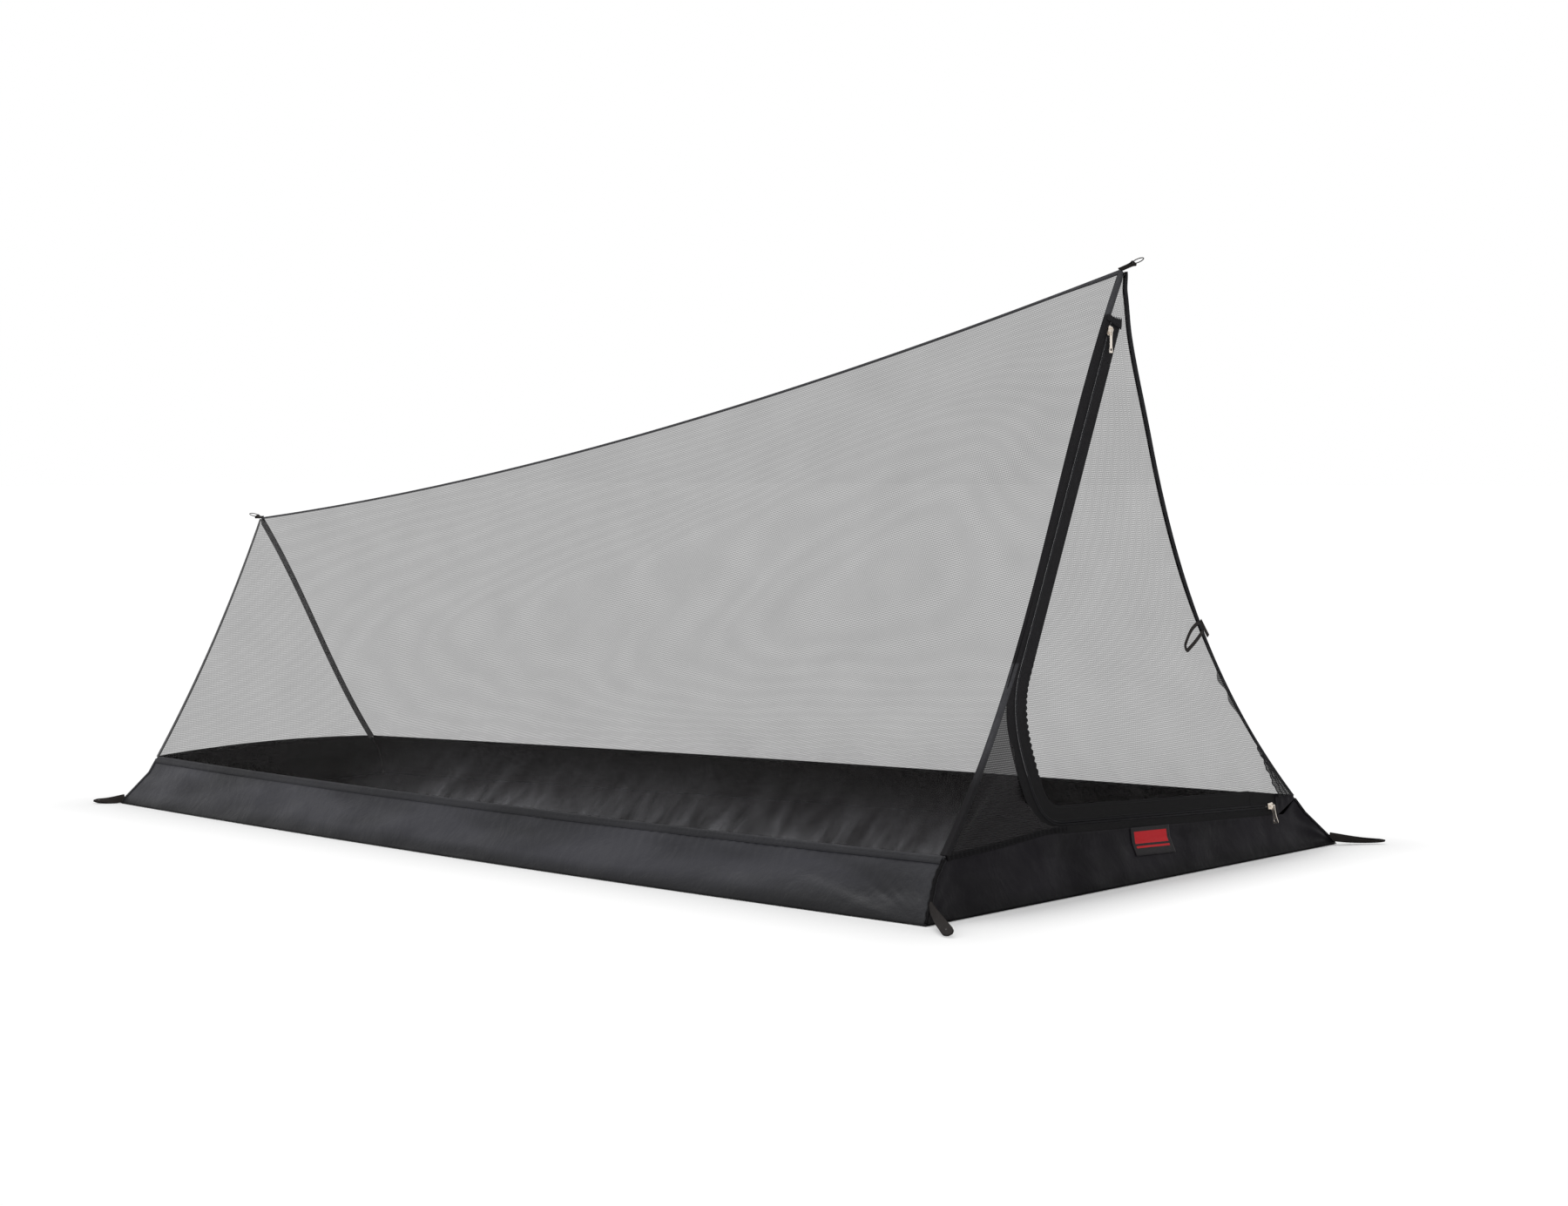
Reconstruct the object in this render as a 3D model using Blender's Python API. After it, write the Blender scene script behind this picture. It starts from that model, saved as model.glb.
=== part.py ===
"""Inner mosquito net tent for one sleeper.

A dark bathtub floor with low walls carries a ridge of fine net that is high at the door end
and low at the feet. The seams between the panels are cut as hanging curves. The door closes
with one long zip that has a slider at each end, and the tent hangs from a ring at each end
of the ridge.

Metres, +Z up. The origin is on the ground at the middle of the floor, the door end faces -Y
and +X is to the right of someone who looks in at the door.
"""
import math

import bpy
import bmesh
from mathutils import Matrix, Vector
from mathutils.geometry import tessellate_polygon

# Ends and sides of the tent
FRONT = -1
REAR = 1
LEFT = -1
RIGHT = 1

# Floor plan
LENGTH = 2.200
FRONT_GROUND_WIDTH = 1.210
REAR_GROUND_WIDTH = 0.709
GROUND_WIDTH = {FRONT: FRONT_GROUND_WIDTH, REAR: REAR_GROUND_WIDTH}
SIDE_BOW = 0.028
FLOOR_THICKNESS = 0.0008

# Low wall round the floor, leaning in to the net
WALL_HEIGHT = 0.087
WALL_THICKNESS = 0.0008
FRONT_WALL_LEAN = 0.0905
REAR_WALL_LEAN = 0.0655
WALL_TOP_WIDTH = {FRONT: FRONT_GROUND_WIDTH - 2 * FRONT_WALL_LEAN,
                  REAR: REAR_GROUND_WIDTH - 2 * REAR_WALL_LEAN}
FRONT_WALL_SETBACK = 0.0337
REAR_WALL_SETBACK = 0.0352
WALL_SETBACK = {FRONT: FRONT_WALL_SETBACK, REAR: REAR_WALL_SETBACK}
WALL_TOP_BOW = 0.045
REAR_WALL_TOP_RISE = 0.009
WALL_PUCKER = 0.0035
WALL_PUCKER_PITCH = 0.130
WALL_PUCKER_ALONG_SHARES = (0.30, 0.85, 1.0)
WALL_PUCKER_DOWN_SHARES = (0.58, 0.97)
WALL_ROW_SHARES = (0.58, 0.80)

# Ridge and the two peaks
FRONT_PEAK_HEIGHT = 0.987
REAR_PEAK_HEIGHT = 0.562
PEAK_HEIGHT = {FRONT: FRONT_PEAK_HEIGHT, REAR: REAR_PEAK_HEIGHT}
FRONT_PEAK_SETBACK = 0.0589
REAR_PEAK_SETBACK = 0.0203
PEAK_SETBACK = {FRONT: FRONT_PEAK_SETBACK, REAR: REAR_PEAK_SETBACK}
RIDGE_SAG = 0.0475
RIDGE_SKEW_SHARE = -0.056

# Hanging curves of the end seams: inward across the tent, and backward along it
FRONT_SEAM_SAG = 0.0694
REAR_SEAM_SAG = 0.0081
SEAM_SAG = {FRONT: FRONT_SEAM_SAG, REAR: REAR_SEAM_SAG}
SEAM_SKEW_SHARE = {FRONT: 0.632, REAR: 1.0}
FRONT_SEAM_BACK = 0.0310
REAR_SEAM_BACK = 0.0081
SEAM_BACK = {FRONT: FRONT_SEAM_BACK, REAR: -REAR_SEAM_BACK}
SEAM_BACK_SKEW_SHARE = {FRONT: 0.059, REAR: -1.0}

# Flat band of each end panel, where the foot of the zip lies
BAND_ABOVE_WALL = 0.039
BAND_BELOW_WALL = 0.027
BAND_TOP = WALL_HEIGHT + BAND_ABOVE_WALL
BAND_FOOT = WALL_HEIGHT - BAND_BELOW_WALL

# Net, its folds and the bindings over the seams
GAP = 0.0003
NET_THICKNESS = 0.0006
SEAM_INSET = 0.0010
NET_PEAK_CUT = 0.0060
NET_BILLOW = 0.0170
NET_BILLOW_ALONG_SHARES = (0.55, 0.90, 1.0)
NET_BILLOW_DOWN_SHARES = (0.0, 0.26, 0.72)
NET_FOLD = 0.0045
NET_FOLD_COUNT = 18
NET_FOLD_FAN_SHARE = 1.12
NET_FOLD_ALONG_SHARES = (0.0, 0.62, 1.0)
NET_FOLD_DOWN_SHARES = (0.0, 0.45, 1.0)
DOOR_FOLD = 0.0050
DOOR_FOLD_PITCH = 0.150
DOOR_FOLD_AIM_SHARES = (0.86, 0.50)
GUSSET_FOLD = 0.0040
GUSSET_FOLD_COUNT = 13
FOLD_START = 0.012
FOLD_MARGIN = 0.060
TAPE_THICKNESS = 0.0010
BINDING_PLAY = 0.0006
END_TAPE_LEG = 0.0070
RIDGE_LEG = 0.0055
WALL_SEAM_UPPER_LEG = 0.0035
WALL_SEAM_LOWER_LEG = 0.0110
RIDGE_END = 0.0125
SEAM_TOP_DROP = 0.0045
SEAM_FOOT_RISE = 0.0100
WALL_SEAM_END = 0.0030

# Zip: the chain runs beside the left seam, turns near the wall and crosses to the right
ZIP_FROM_SEAM = 0.0172
ZIP_TOP_FROM_SEAM = 0.0152
ZIP_TOP = 0.9005
ZIP_DOOR_TOP = 0.8440
ZIP_ARC_FOOT = 0.3550
ZIP_TURN_FROM_SIDE = 0.2445
ZIP_TURN_X = ZIP_TURN_FROM_SIDE - WALL_TOP_WIDTH[FRONT] / 2
ZIP_TURN_RISE = 0.0830
ZIP_TURN_Z = WALL_HEIGHT + ZIP_TURN_RISE
ZIP_TURN_PULL = 0.0750
ZIP_TURN_END_PULL = 0.0600
ZIP_TURN_SLANT_SHARE = 0.34
ZIP_FOOT_FROM_SIDE = 0.3195
ZIP_FOOT_X = ZIP_FOOT_FROM_SIDE - WALL_TOP_WIDTH[FRONT] / 2
ZIP_FOOT_RISE = 0.0225
ZIP_FOOT_Z = WALL_HEIGHT + ZIP_FOOT_RISE
ZIP_CORNER_PULL = 0.0420
ZIP_CORNER_END_PULL = 0.0420
ZIP_END_FROM_SIDE = 0.0670
ZIP_END_X = WALL_TOP_WIDTH[FRONT] / 2 - ZIP_END_FROM_SIDE
ZIP_END_DROP = 0.0078
ZIP_END_Z = WALL_HEIGHT - ZIP_END_DROP
COIL_GAP = 0.0010
COIL_WIDTH = 0.0030
COIL_THICKNESS = 0.0028
ZIP_TAPE_THICKNESS = 0.0006
ZIP_DOOR_SIDE = 0.0280
ZIP_TURN_SIDE = 0.0240
ZIP_FOOT_SIDE = 0.0160
ZIP_END_SIDE = 0.0210
ZIP_FOLD_HEIGHT = 0.0130
ZIP_FOLD_THICKNESS = 0.0016
PINK_DEPTH = 0.0022
PINK_COUNT = 8

# Door: it folds about a straight line from beside the zip's top to its foot
DOOR_FOOT_FROM_ZIP_END = 0.0825
DOOR_FOOT_X = ZIP_END_X - DOOR_FOOT_FROM_ZIP_END
DOOR_SHOULDER = 0.0040
DOOR_GAP = 0.0008

# Zip sliders
SLIDER_LENGTH = 0.0160
SLIDER_WIDTH = 0.0126
SLIDER_WAIST = 0.0104
SLIDER_PLATE = 0.0012
SLIDER_WEB = 0.0004
SLIDER_PLAY = 0.00032
BAIL_SPAN = 0.0110
BAIL_RISE = 0.0052
BAIL_THICKNESS = 0.0014
BAIL_WIDTH = 0.0018
BAIL_SINK = 0.0005
TOP_SLIDER_Z = 0.8888
FOOT_SLIDER_FROM_ZIP_END = 0.0205
FOOT_SLIDER_X = ZIP_END_X - FOOT_SLIDER_FROM_ZIP_END

# Pull tabs
PULL_LENGTH = 0.0340
PULL_THICKNESS = 0.0013
PULL_EYE = 0.0049
PULL_HEAD = 0.0082
PULL_SHANK = 0.0066
PULL_FOOT = 0.0100
PULL_HOLE = 0.0050
PULL_SEAT = 0.0019
FOOT_PULL_DROP = 0.0006
FOOT_PULL_LEAN = math.radians(-14.0)

# Ring at each end of the ridge, in the fold of a webbing tab
RING_OUTSIDE = 0.0210
RING_WIRE = 0.0018
TAB_WIDTH = 0.0080
TAB_THICKNESS = 0.0022
TAB_EYE = 0.0036
TAB_EYE_WALL = 0.0010
FRONT_TAB_REACH = 0.0215
REAR_TAB_REACH = 0.0130
TAB_REACH = {FRONT: FRONT_TAB_REACH, REAR: REAR_TAB_REACH}
FRONT_TAB_RISE = 0.0105
REAR_TAB_RISE = 0.0045
TAB_RISE = {FRONT: FRONT_TAB_RISE, REAR: REAR_TAB_RISE}

# Tie back loop of the door, and the cut end of its webbing on the other side of the seam
TIE_TOP_Z = 0.409
TIE_FOOT_Z = 0.387
TIE_REACH = 0.060
TIE_DROP = 0.034
TIE_STRAP = 0.0050
TIE_THICKNESS = 0.0014
TIE_STRAND_GAP = 0.0060
TIE_SEAT = 0.0032
TIE_END_REACH = 0.034
TIE_END_SLANT_SHARE = 0.72
TIE_END_WIDTH = 0.0080

# Stake loops at the four corners
STAKE_WIDTH = 0.0160
STAKE_THICKNESS = 0.0018
FRONT_STAKE_LENGTH = 0.0870
REAR_STAKE_LENGTH = 0.0530
STAKE_LENGTH = {FRONT: FRONT_STAKE_LENGTH, REAR: REAR_STAKE_LENGTH}
FRONT_STAKE_RISE = 0.0270
REAR_STAKE_RISE = 0.0190
STAKE_RISE = {FRONT: FRONT_STAKE_RISE, REAR: REAR_STAKE_RISE}
STAKE_TIP_RADIUS = 0.0042
STAKE_TIP_TURN_SHARE = 0.42
STAKE_AIM_SHARE = {FRONT: (0.650, -0.760), REAR: (0.690, 0.724)}

# Counts of facets
RIDGE_STEPS = 24
WALL_STEPS = 23
SEAM_STEPS = {FRONT: 20, REAR: 10}
ARC_STEPS = 16
TURN_STEPS = 7
CORNER_STEPS = 9
FOOT_STEPS = 5
ROUND_STEPS = 20
HOLE_SIDES = 12
REAR_WALL_STEPS = 8
WIRE_SIDES = 8
FOLD_CELL = 0.062
HALVINGS = 30


def make_material(name, colour, roughness, metallic=0.0):
    """Principled material of one colour, roughness and metallic value."""
    material = bpy.data.materials.new(name)
    material.use_nodes = True
    shader = material.node_tree.nodes["Principled BSDF"]
    shader.inputs["Base Color"].default_value = (*colour, 1.0)
    shader.inputs["Roughness"].default_value = roughness
    shader.inputs["Metallic"].default_value = metallic
    material.diffuse_color = (*colour, 1.0)
    return material


def add_object(name, build, material, sharp_angle=35.0):
    """Object made from a bmesh, smooth except at edges sharper than the angle."""
    bmesh.ops.recalc_face_normals(build, faces=build.faces)
    mesh = bpy.data.meshes.new(name)
    build.to_mesh(mesh)
    build.free()
    mesh.shade_smooth()
    mesh.set_sharp_from_angle(angle=math.radians(sharp_angle))
    mesh.materials.append(material)
    item = bpy.data.objects.new(name, mesh)
    bpy.context.scene.collection.objects.link(item)
    return item


def set_origin(item, place):
    """Move an object's origin to a place without moving its shape."""
    item.data.transform(Matrix.Translation(-place))
    item.location = place


def loft(name, sections, material, closed=False):
    """Solid through sections of equal point count, capped unless it is a ring."""
    build = bmesh.new()
    rows = [[build.verts.new(point) for point in section] for section in sections]
    count = len(rows[0])
    pairs = list(zip(rows, rows[1:]))
    if closed:
        pairs.append((rows[-1], rows[0]))
    for near, far in pairs:
        for i in range(count):
            j = (i + 1) % count
            build.faces.new((near[i], near[j], far[j], far[i]))
    if not closed:
        build.faces.new(rows[0])
        build.faces.new(list(reversed(rows[-1])))
    return add_object(name, build, material)


def plate(name, outline, hole, depth, place, material):
    """Flat outline with a hole, given depth; place maps (a, b, depth)."""
    build = bmesh.new()
    flat = outline + hole
    sides = [[build.verts.new(place(a, b, side)) for a, b in flat] for side in (-depth / 2, depth / 2)]
    for triangle in tessellate_polygon([[Vector((a, b, 0)) for a, b in path] for path in (outline, hole)]):
        for verts in sides:
            build.faces.new([verts[i] for i in triangle])
    back, face = sides
    for first, count in ((0, len(outline)), (len(outline), len(hole))):
        for i in range(first, first + count):
            j = i + 1 if i + 1 < first + count else first
            build.faces.new((back[i], back[j], face[j], face[i]))
    return add_object(name, build, material)


def thicken(item, thickness):
    """Even thickness on both sides of a sheet."""
    solid = item.modifiers.new("thickness", "SOLIDIFY")
    solid.thickness = thickness
    solid.offset = 0
    solid.use_even_offset = True
    solid.use_rim = True
    return item


def shares(count):
    """Even shares from 0 to 1, both ends included."""
    return [i / count for i in range(count + 1)]


def spread(start, end, count):
    """Evenly spaced values from start to end, both included."""
    return [start + (end - start) * share for share in shares(count)]


def smooth(t):
    """Soft step from 0 to 1."""
    t = min(max(t, 0), 1)
    return t * t * (3 - 2 * t)


def hump(t, start, top, end):
    """Soft hump that is 0 at start and end and 1 at its top."""
    return smooth((t - start) / (top - start)) * smooth((end - t) / (end - top))


def bell(t, skew):
    """Hanging curve of height 1 at the middle, leaning to one end by its skew."""
    return 4 * t * (1 - t) * (1 + skew * (2 * t - 1))


def hanging(start, end, sag, skew=(0, 0, 0)):
    """Curve from start to end that leaves the straight line by sag at its middle."""
    def point(t):
        return start.lerp(end, t) + Vector([size * bell(t, lean) for size, lean in zip(sag, skew)])
    return point


def bezier(start, start_pull, end_pull, end, t):
    """Cubic curve through two ends with their pull points."""
    s = 1 - t
    return start * s ** 3 + start_pull * (3 * s * s * t) + end_pull * (3 * s * t * t) + end * t ** 3


def peak(end):
    """Top corner of an end panel."""
    return Vector((0, end * (LENGTH / 2 - PEAK_SETBACK[end]), PEAK_HEIGHT[end]))


def wall_corner(side, end):
    """Top of the wall at a corner of the tent."""
    return Vector((side * WALL_TOP_WIDTH[end] / 2, end * (LENGTH / 2 - WALL_SETBACK[end]), WALL_HEIGHT))


def ridge(t):
    """Ridge from the rear peak to the front peak."""
    return hanging(peak(REAR), peak(FRONT), (0, 0, -RIDGE_SAG), (0, 0, RIDGE_SKEW_SHARE))(t)


def end_seam(side, end):
    """Seam from a peak down to the top of the wall."""
    sag = (-side * SEAM_SAG[end], SEAM_BACK[end], 0)
    return hanging(peak(end), wall_corner(side, end), sag,
                   (SEAM_SKEW_SHARE[end], SEAM_BACK_SKEW_SHARE[end], 0))


def wall_top(side):
    """Seam between net and wall on a long side, from rear to front."""
    return hanging(wall_corner(side, REAR), wall_corner(side, FRONT), (side * WALL_TOP_BOW, 0, 0))


def ground_corner(side, end):
    """Corner of the floor."""
    return Vector((side * GROUND_WIDTH[end] / 2, end * LENGTH / 2, 0))


def ground_edge(side):
    """Long edge of the floor from rear to front."""
    return hanging(ground_corner(side, REAR), ground_corner(side, FRONT), (side * SIDE_BOW, 0, 0))


def seam_share(z, end):
    """How far down an end seam a height lies."""
    return (PEAK_HEIGHT[end] - z) / (PEAK_HEIGHT[end] - WALL_HEIGHT)


def panel_y(z, end):
    """Place of an end panel at a height: curved net, a flat band, then the foot of the wall."""
    seam = end_seam(RIGHT, end)
    if z >= BAND_TOP:
        return seam(seam_share(z, end)).y
    top = seam(seam_share(BAND_TOP, end)).y
    slope = (top - wall_corner(RIGHT, end).y) / (BAND_TOP - WALL_HEIGHT)
    if z >= BAND_FOOT:
        return top - slope * (BAND_TOP - z)
    foot = top - slope * (BAND_TOP - BAND_FOOT)
    ground = end * LENGTH / 2
    return ground + (foot - ground) * z / BAND_FOOT


def half_width(z, end):
    """Distance from the middle of an end panel to its side edge at a height."""
    if z >= WALL_HEIGHT:
        return end_seam(RIGHT, end)(seam_share(z, end)).x
    return (GROUND_WIDTH[end] + (WALL_TOP_WIDTH[end] - GROUND_WIDTH[end]) * z / WALL_HEIGHT) / 2


def panel_normal(z, end):
    """Unit normal of an end panel, away from the tent."""
    reach = GAP
    low = max(z - reach, 0)
    slope = (panel_y(z + reach, end) - panel_y(low, end)) / (z + reach - low)
    return Vector((0, end, -end * slope)).normalized()


def on_panel(place, lift=0, end=FRONT):
    """Point of an end panel at (x, z), lifted off it along its normal."""
    x, z = place
    return Vector((x, panel_y(z, end), z)) + panel_normal(z, end) * lift


def corner_edge(side, end):
    """Corner edge between an end wall and a side wall, from its top to the ground."""
    def point(v):
        z = WALL_HEIGHT * (1 - v)
        return Vector((side * half_width(z, end), panel_y(z, end), z))
    return point


def coons(top, bottom, left, right):
    """Patch between four curves; u runs from left to right and v from top to bottom."""
    def point(u, v):
        corners = top(0).lerp(top(1), u).lerp(bottom(0).lerp(bottom(1), u), v)
        return left(v).lerp(right(v), u) + top(u).lerp(bottom(u), v) - corners
    return point


def side_net_surface(side):
    """Net between the ridge and a side wall; u runs from rear to front."""
    return coons(ridge, wall_top(side), end_seam(side, REAR), end_seam(side, FRONT))


def side_wall_surface(side):
    """Wall of a long side; u runs from rear to front and v from top to ground."""
    return coons(wall_top(side), ground_edge(side), corner_edge(side, REAR), corner_edge(side, FRONT))


def slopes(surface, u, v):
    """Derivatives of a surface by u and by v."""
    step_share = 0.001
    u0, u1 = max(u - step_share, 0), min(u + step_share, 1)
    v0, v1 = max(v - step_share, 0), min(v + step_share, 1)
    by_u = (surface(u1, v) - surface(u0, v)) / (u1 - u0)
    by_v = (surface(u, v1) - surface(u, v0)) / (v1 - v0)
    return by_u, by_v


def side_normal(surface, u, v, side):
    """Unit normal of a side surface, away from the tent."""
    by_u, by_v = slopes(surface, u, v)
    normal = by_u.cross(by_v).normalized()
    return normal if normal.x * side > 0 else -normal


def drawn_in(surface, ends, top, bottom):
    """The same surface with its end, top and bottom edges moved in."""
    def share(u, v, distance, across_u):
        by_u, by_v = slopes(surface, u, v)
        edge = by_v if across_u else by_u
        return distance * edge.length / by_u.cross(by_v).length

    def point(u, v):
        low_u = share(0, v, ends, True)
        high_u = 1 - share(1, v, ends, True)
        low_v = share(u, 0, top, False)
        high_v = 1 - share(u, 1, bottom, False)
        return surface(low_u + (high_u - low_u) * u, low_v + (high_v - low_v) * v)
    return point


def side_sheet(name, surface, side, lift, columns, rows, thickness, material):
    """Sheet on a side surface, moved along its normal by lift(u, v)."""
    build = bmesh.new()
    grid = []
    for v in rows:
        points = [surface(u, v) + side_normal(surface, u, v, side) * lift(u, v) for u in columns]
        grid.append([build.verts.new(point) for point in points])
    for upper, lower in zip(grid, grid[1:]):
        for i in range(len(columns) - 1):
            build.faces.new((upper[i], lower[i], lower[i + 1], upper[i + 1]))
    return thicken(add_object(name, build, material), thickness)


def distance_to(outline, place):
    """Distance from a place to the nearest edge of a closed outline."""
    nearest = math.inf
    for a, b in zip(outline, outline[1:] + outline[:1]):
        run = b - a
        share = min(max((place - a).dot(run) / max(run.length_squared, GAP * GAP), 0), 1)
        nearest = min(nearest, (place - a - run * share).length)
    return nearest


def panel_sheet(name, outline, end, thickness, material, fold=None):
    """Sheet with a closed (x, z) outline on an end panel, with folds that stay off its edges."""
    outline = [Vector(place) for place in outline]
    build = bmesh.new()
    build.faces.new([build.verts.new((x, 0, z)) for x, z in outline])
    low = [min(place[axis] for place in outline) for axis in (0, 1)]
    high = [max(place[axis] for place in outline) for axis in (0, 1)]
    cuts = [(2, z) for z in (BAND_FOOT, BAND_TOP) if low[1] + GAP < z < high[1] - GAP]
    for axis, plane in ((0, 0), (1, 2)):
        if axis or fold:
            count = math.ceil((high[axis] - low[axis]) / FOLD_CELL)
            cuts += [(plane, value) for value in spread(low[axis], high[axis], count)[1:-1]]
    for plane, value in cuts:
        normal = Vector([float(plane == i) for i in range(3)])
        bmesh.ops.bisect_plane(build, geom=build.verts[:] + build.edges[:] + build.faces[:],
                               dist=GAP / 3, plane_co=normal * value, plane_no=normal)
    for vert in build.verts:
        place = Vector((vert.co.x, vert.co.z))
        lift = 0
        if fold:
            lift = fold(place) * smooth((distance_to(outline, place) - FOLD_START) / FOLD_MARGIN)
        vert.co = on_panel(place, lift, end)
    return thicken(add_object(name, build, material), thickness)


def binding(name, stations, legs, clearance, thickness, material):
    """Folded tape over a seam.

    A station is a point of the seam, with the direction into each panel and its normal.
    """
    sections = []
    for point, first_way, first_normal, second_way, second_normal in stations:
        middle = (first_normal + second_normal).normalized()
        mitre = 1 / middle.dot(first_normal)
        first_leg, second_leg = legs(point)
        rows = []
        for lift in (clearance, clearance + thickness):
            rows.append((point + first_way * first_leg + first_normal * lift,
                         point + middle * (lift * mitre),
                         point + second_way * second_leg + second_normal * lift))
        inner, outer = rows
        sections.append((*inner, *reversed(outer)))
    return loft(name, sections, material)


def into(surface, u, v, towards_u, towards_v):
    """Unit vector in a surface, square to its edge, away from the edge at (u, v)."""
    by_u, by_v = slopes(surface, u, v)
    way, edge = (by_u * towards_u, by_v) if towards_u else (by_v * towards_v, by_u)
    edge = edge.normalized()
    return (way - edge * way.dot(edge)).normalized()


def share_at(curve, distance, from_end=False):
    """Share of a curve at a distance from one of its ends."""
    low, high = 0.0, 1.0
    start = curve(float(from_end))
    for _ in range(HALVINGS):
        share = (low + high) / 2
        if (curve(1 - share if from_end else share) - start).length < distance:
            low = share
        else:
            high = share
    return 1 - share if from_end else share


def build_floor(material):
    """Flat floor sheet to the foot of the walls."""
    rows = []
    for t in shares(WALL_STEPS):
        left, right = ground_edge(LEFT)(t), ground_edge(RIGHT)(t)
        rows.append([Vector((point.x, point.y, z)) for point, z in (
            (left, 0), (right, 0), (right, FLOOR_THICKNESS), (left, FLOOR_THICKNESS))])
    return loft("floor_sheet", rows, material)


def wall_foot():
    """Height of the foot of a wall, clear of the floor."""
    return FLOOR_THICKNESS + GAP + WALL_THICKNESS / 4


def edged(count, margin_share):
    """Even shares with one more close to each end, inside which a sheet stays flat."""
    return [0, margin_share] + shares(count)[1:-1] + [1 - margin_share, 1]


def build_side(side, name, materials):
    """Net, wall and wall seam of one long side."""
    net = drawn_in(side_net_surface(side), SEAM_INSET, SEAM_INSET, SEAM_INSET)
    slant = wall_top(side)(0.5) - ground_edge(side)(0.5)
    wall = drawn_in(side_wall_surface(side), SEAM_INSET, SEAM_INSET, wall_foot() * slant.length / slant.z)

    flat_share = (WALL_SEAM_LOWER_LEG + SEAM_INSET) / WALL_HEIGHT

    def net_lift(u, v):
        billow = hump(u, *NET_BILLOW_ALONG_SHARES) * hump(v, *NET_BILLOW_DOWN_SHARES)
        fold = math.sin(math.atan2(v, NET_FOLD_FAN_SHARE - u) * NET_FOLD_COUNT)
        fold *= hump(u, *NET_FOLD_ALONG_SHARES) * hump(v, *NET_FOLD_DOWN_SHARES)
        return NET_BILLOW * billow + NET_FOLD * fold

    def wall_lift(u, v):
        pucker = math.sin(2 * math.pi * u * LENGTH / WALL_PUCKER_PITCH)
        pucker *= hump(v, flat_share, *WALL_PUCKER_DOWN_SHARES) * hump(u, *WALL_PUCKER_ALONG_SHARES)
        return WALL_PUCKER * pucker

    side_sheet(f"net_{name}", net, side, net_lift, edged(RIDGE_STEPS, FOLD_START / LENGTH),
               edged(SEAM_STEPS[FRONT], FOLD_START / PEAK_HEIGHT[FRONT]), NET_THICKNESS, materials["net"])
    wall_rows = (0, flat_share, 1 - BAND_FOOT / WALL_HEIGHT, *WALL_ROW_SHARES, 1)
    side_sheet(f"wall_{name}", wall, side, wall_lift, shares(WALL_STEPS * 2),
               wall_rows, WALL_THICKNESS, materials["wall"])

    net, wall = side_net_surface(side), side_wall_surface(side)
    stations = []
    edge = wall_top(side)
    for t in spread(share_at(edge, WALL_SEAM_END), share_at(edge, WALL_SEAM_END, True), WALL_STEPS):
        stations.append((edge(t), into(net, t, 1, 0, -1), side_normal(net, t, 1, side),
                         into(wall, t, 0, 0, 1), side_normal(wall, t, 0, side)))
    binding(f"wall_seam_{name}", stations, lambda point: (WALL_SEAM_UPPER_LEG, WALL_SEAM_LOWER_LEG),
            WALL_THICKNESS / 2 + BINDING_PLAY, TAPE_THICKNESS, materials["tape"])


def build_ridge_tape(material):
    """Binding over the ridge between the two nets."""
    nets = [(side, side_net_surface(side)) for side in (LEFT, RIGHT)]
    stations = []
    for t in spread(share_at(ridge, RIDGE_END), share_at(ridge, RIDGE_END, True), RIDGE_STEPS):
        ways = [(into(net, t, 0, 0, 1), side_normal(net, t, 0, side)) for side, net in nets]
        stations.append((ridge(t), *ways[0], *ways[1]))
    binding("ridge_tape", stations, lambda point: (RIDGE_LEG, RIDGE_LEG),
            NET_THICKNESS / 2 + BINDING_PLAY, TAPE_THICKNESS, material)


def build_end_tapes(end, name, material):
    """Bindings over the two seams between an end panel and the side nets."""
    for side, side_name in ((LEFT, "left"), (RIGHT, "right")):
        seam = end_seam(side, end)
        net = side_net_surface(side)
        u = 1 if end == FRONT else 0
        inward = -1 if end == FRONT else 1
        stations = []
        last = 1 - SEAM_FOOT_RISE / (PEAK_HEIGHT[end] - WALL_HEIGHT)
        for t in spread(share_at(seam, SEAM_TOP_DROP), last, SEAM_STEPS[end]):
            point = seam(t)
            stations.append((point, Vector((-side, 0, 0)), panel_normal(point.z, end),
                             into(net, u, t, inward, 0), side_normal(net, u, t, side)))

        def legs(point):
            return min(END_TAPE_LEG, abs(point.x) - GAP), END_TAPE_LEG
        binding(f"{name}_tape_{side_name}", stations, legs,
                NET_THICKNESS / 2 + BINDING_PLAY, TAPE_THICKNESS, material)


def seam_edge(side, end, low, high, count):
    """Edge of an end panel beside its side seam, from one height to another."""
    return [(side * (half_width(z, end) - SEAM_INSET), z) for z in spread(low, high, count)]


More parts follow.
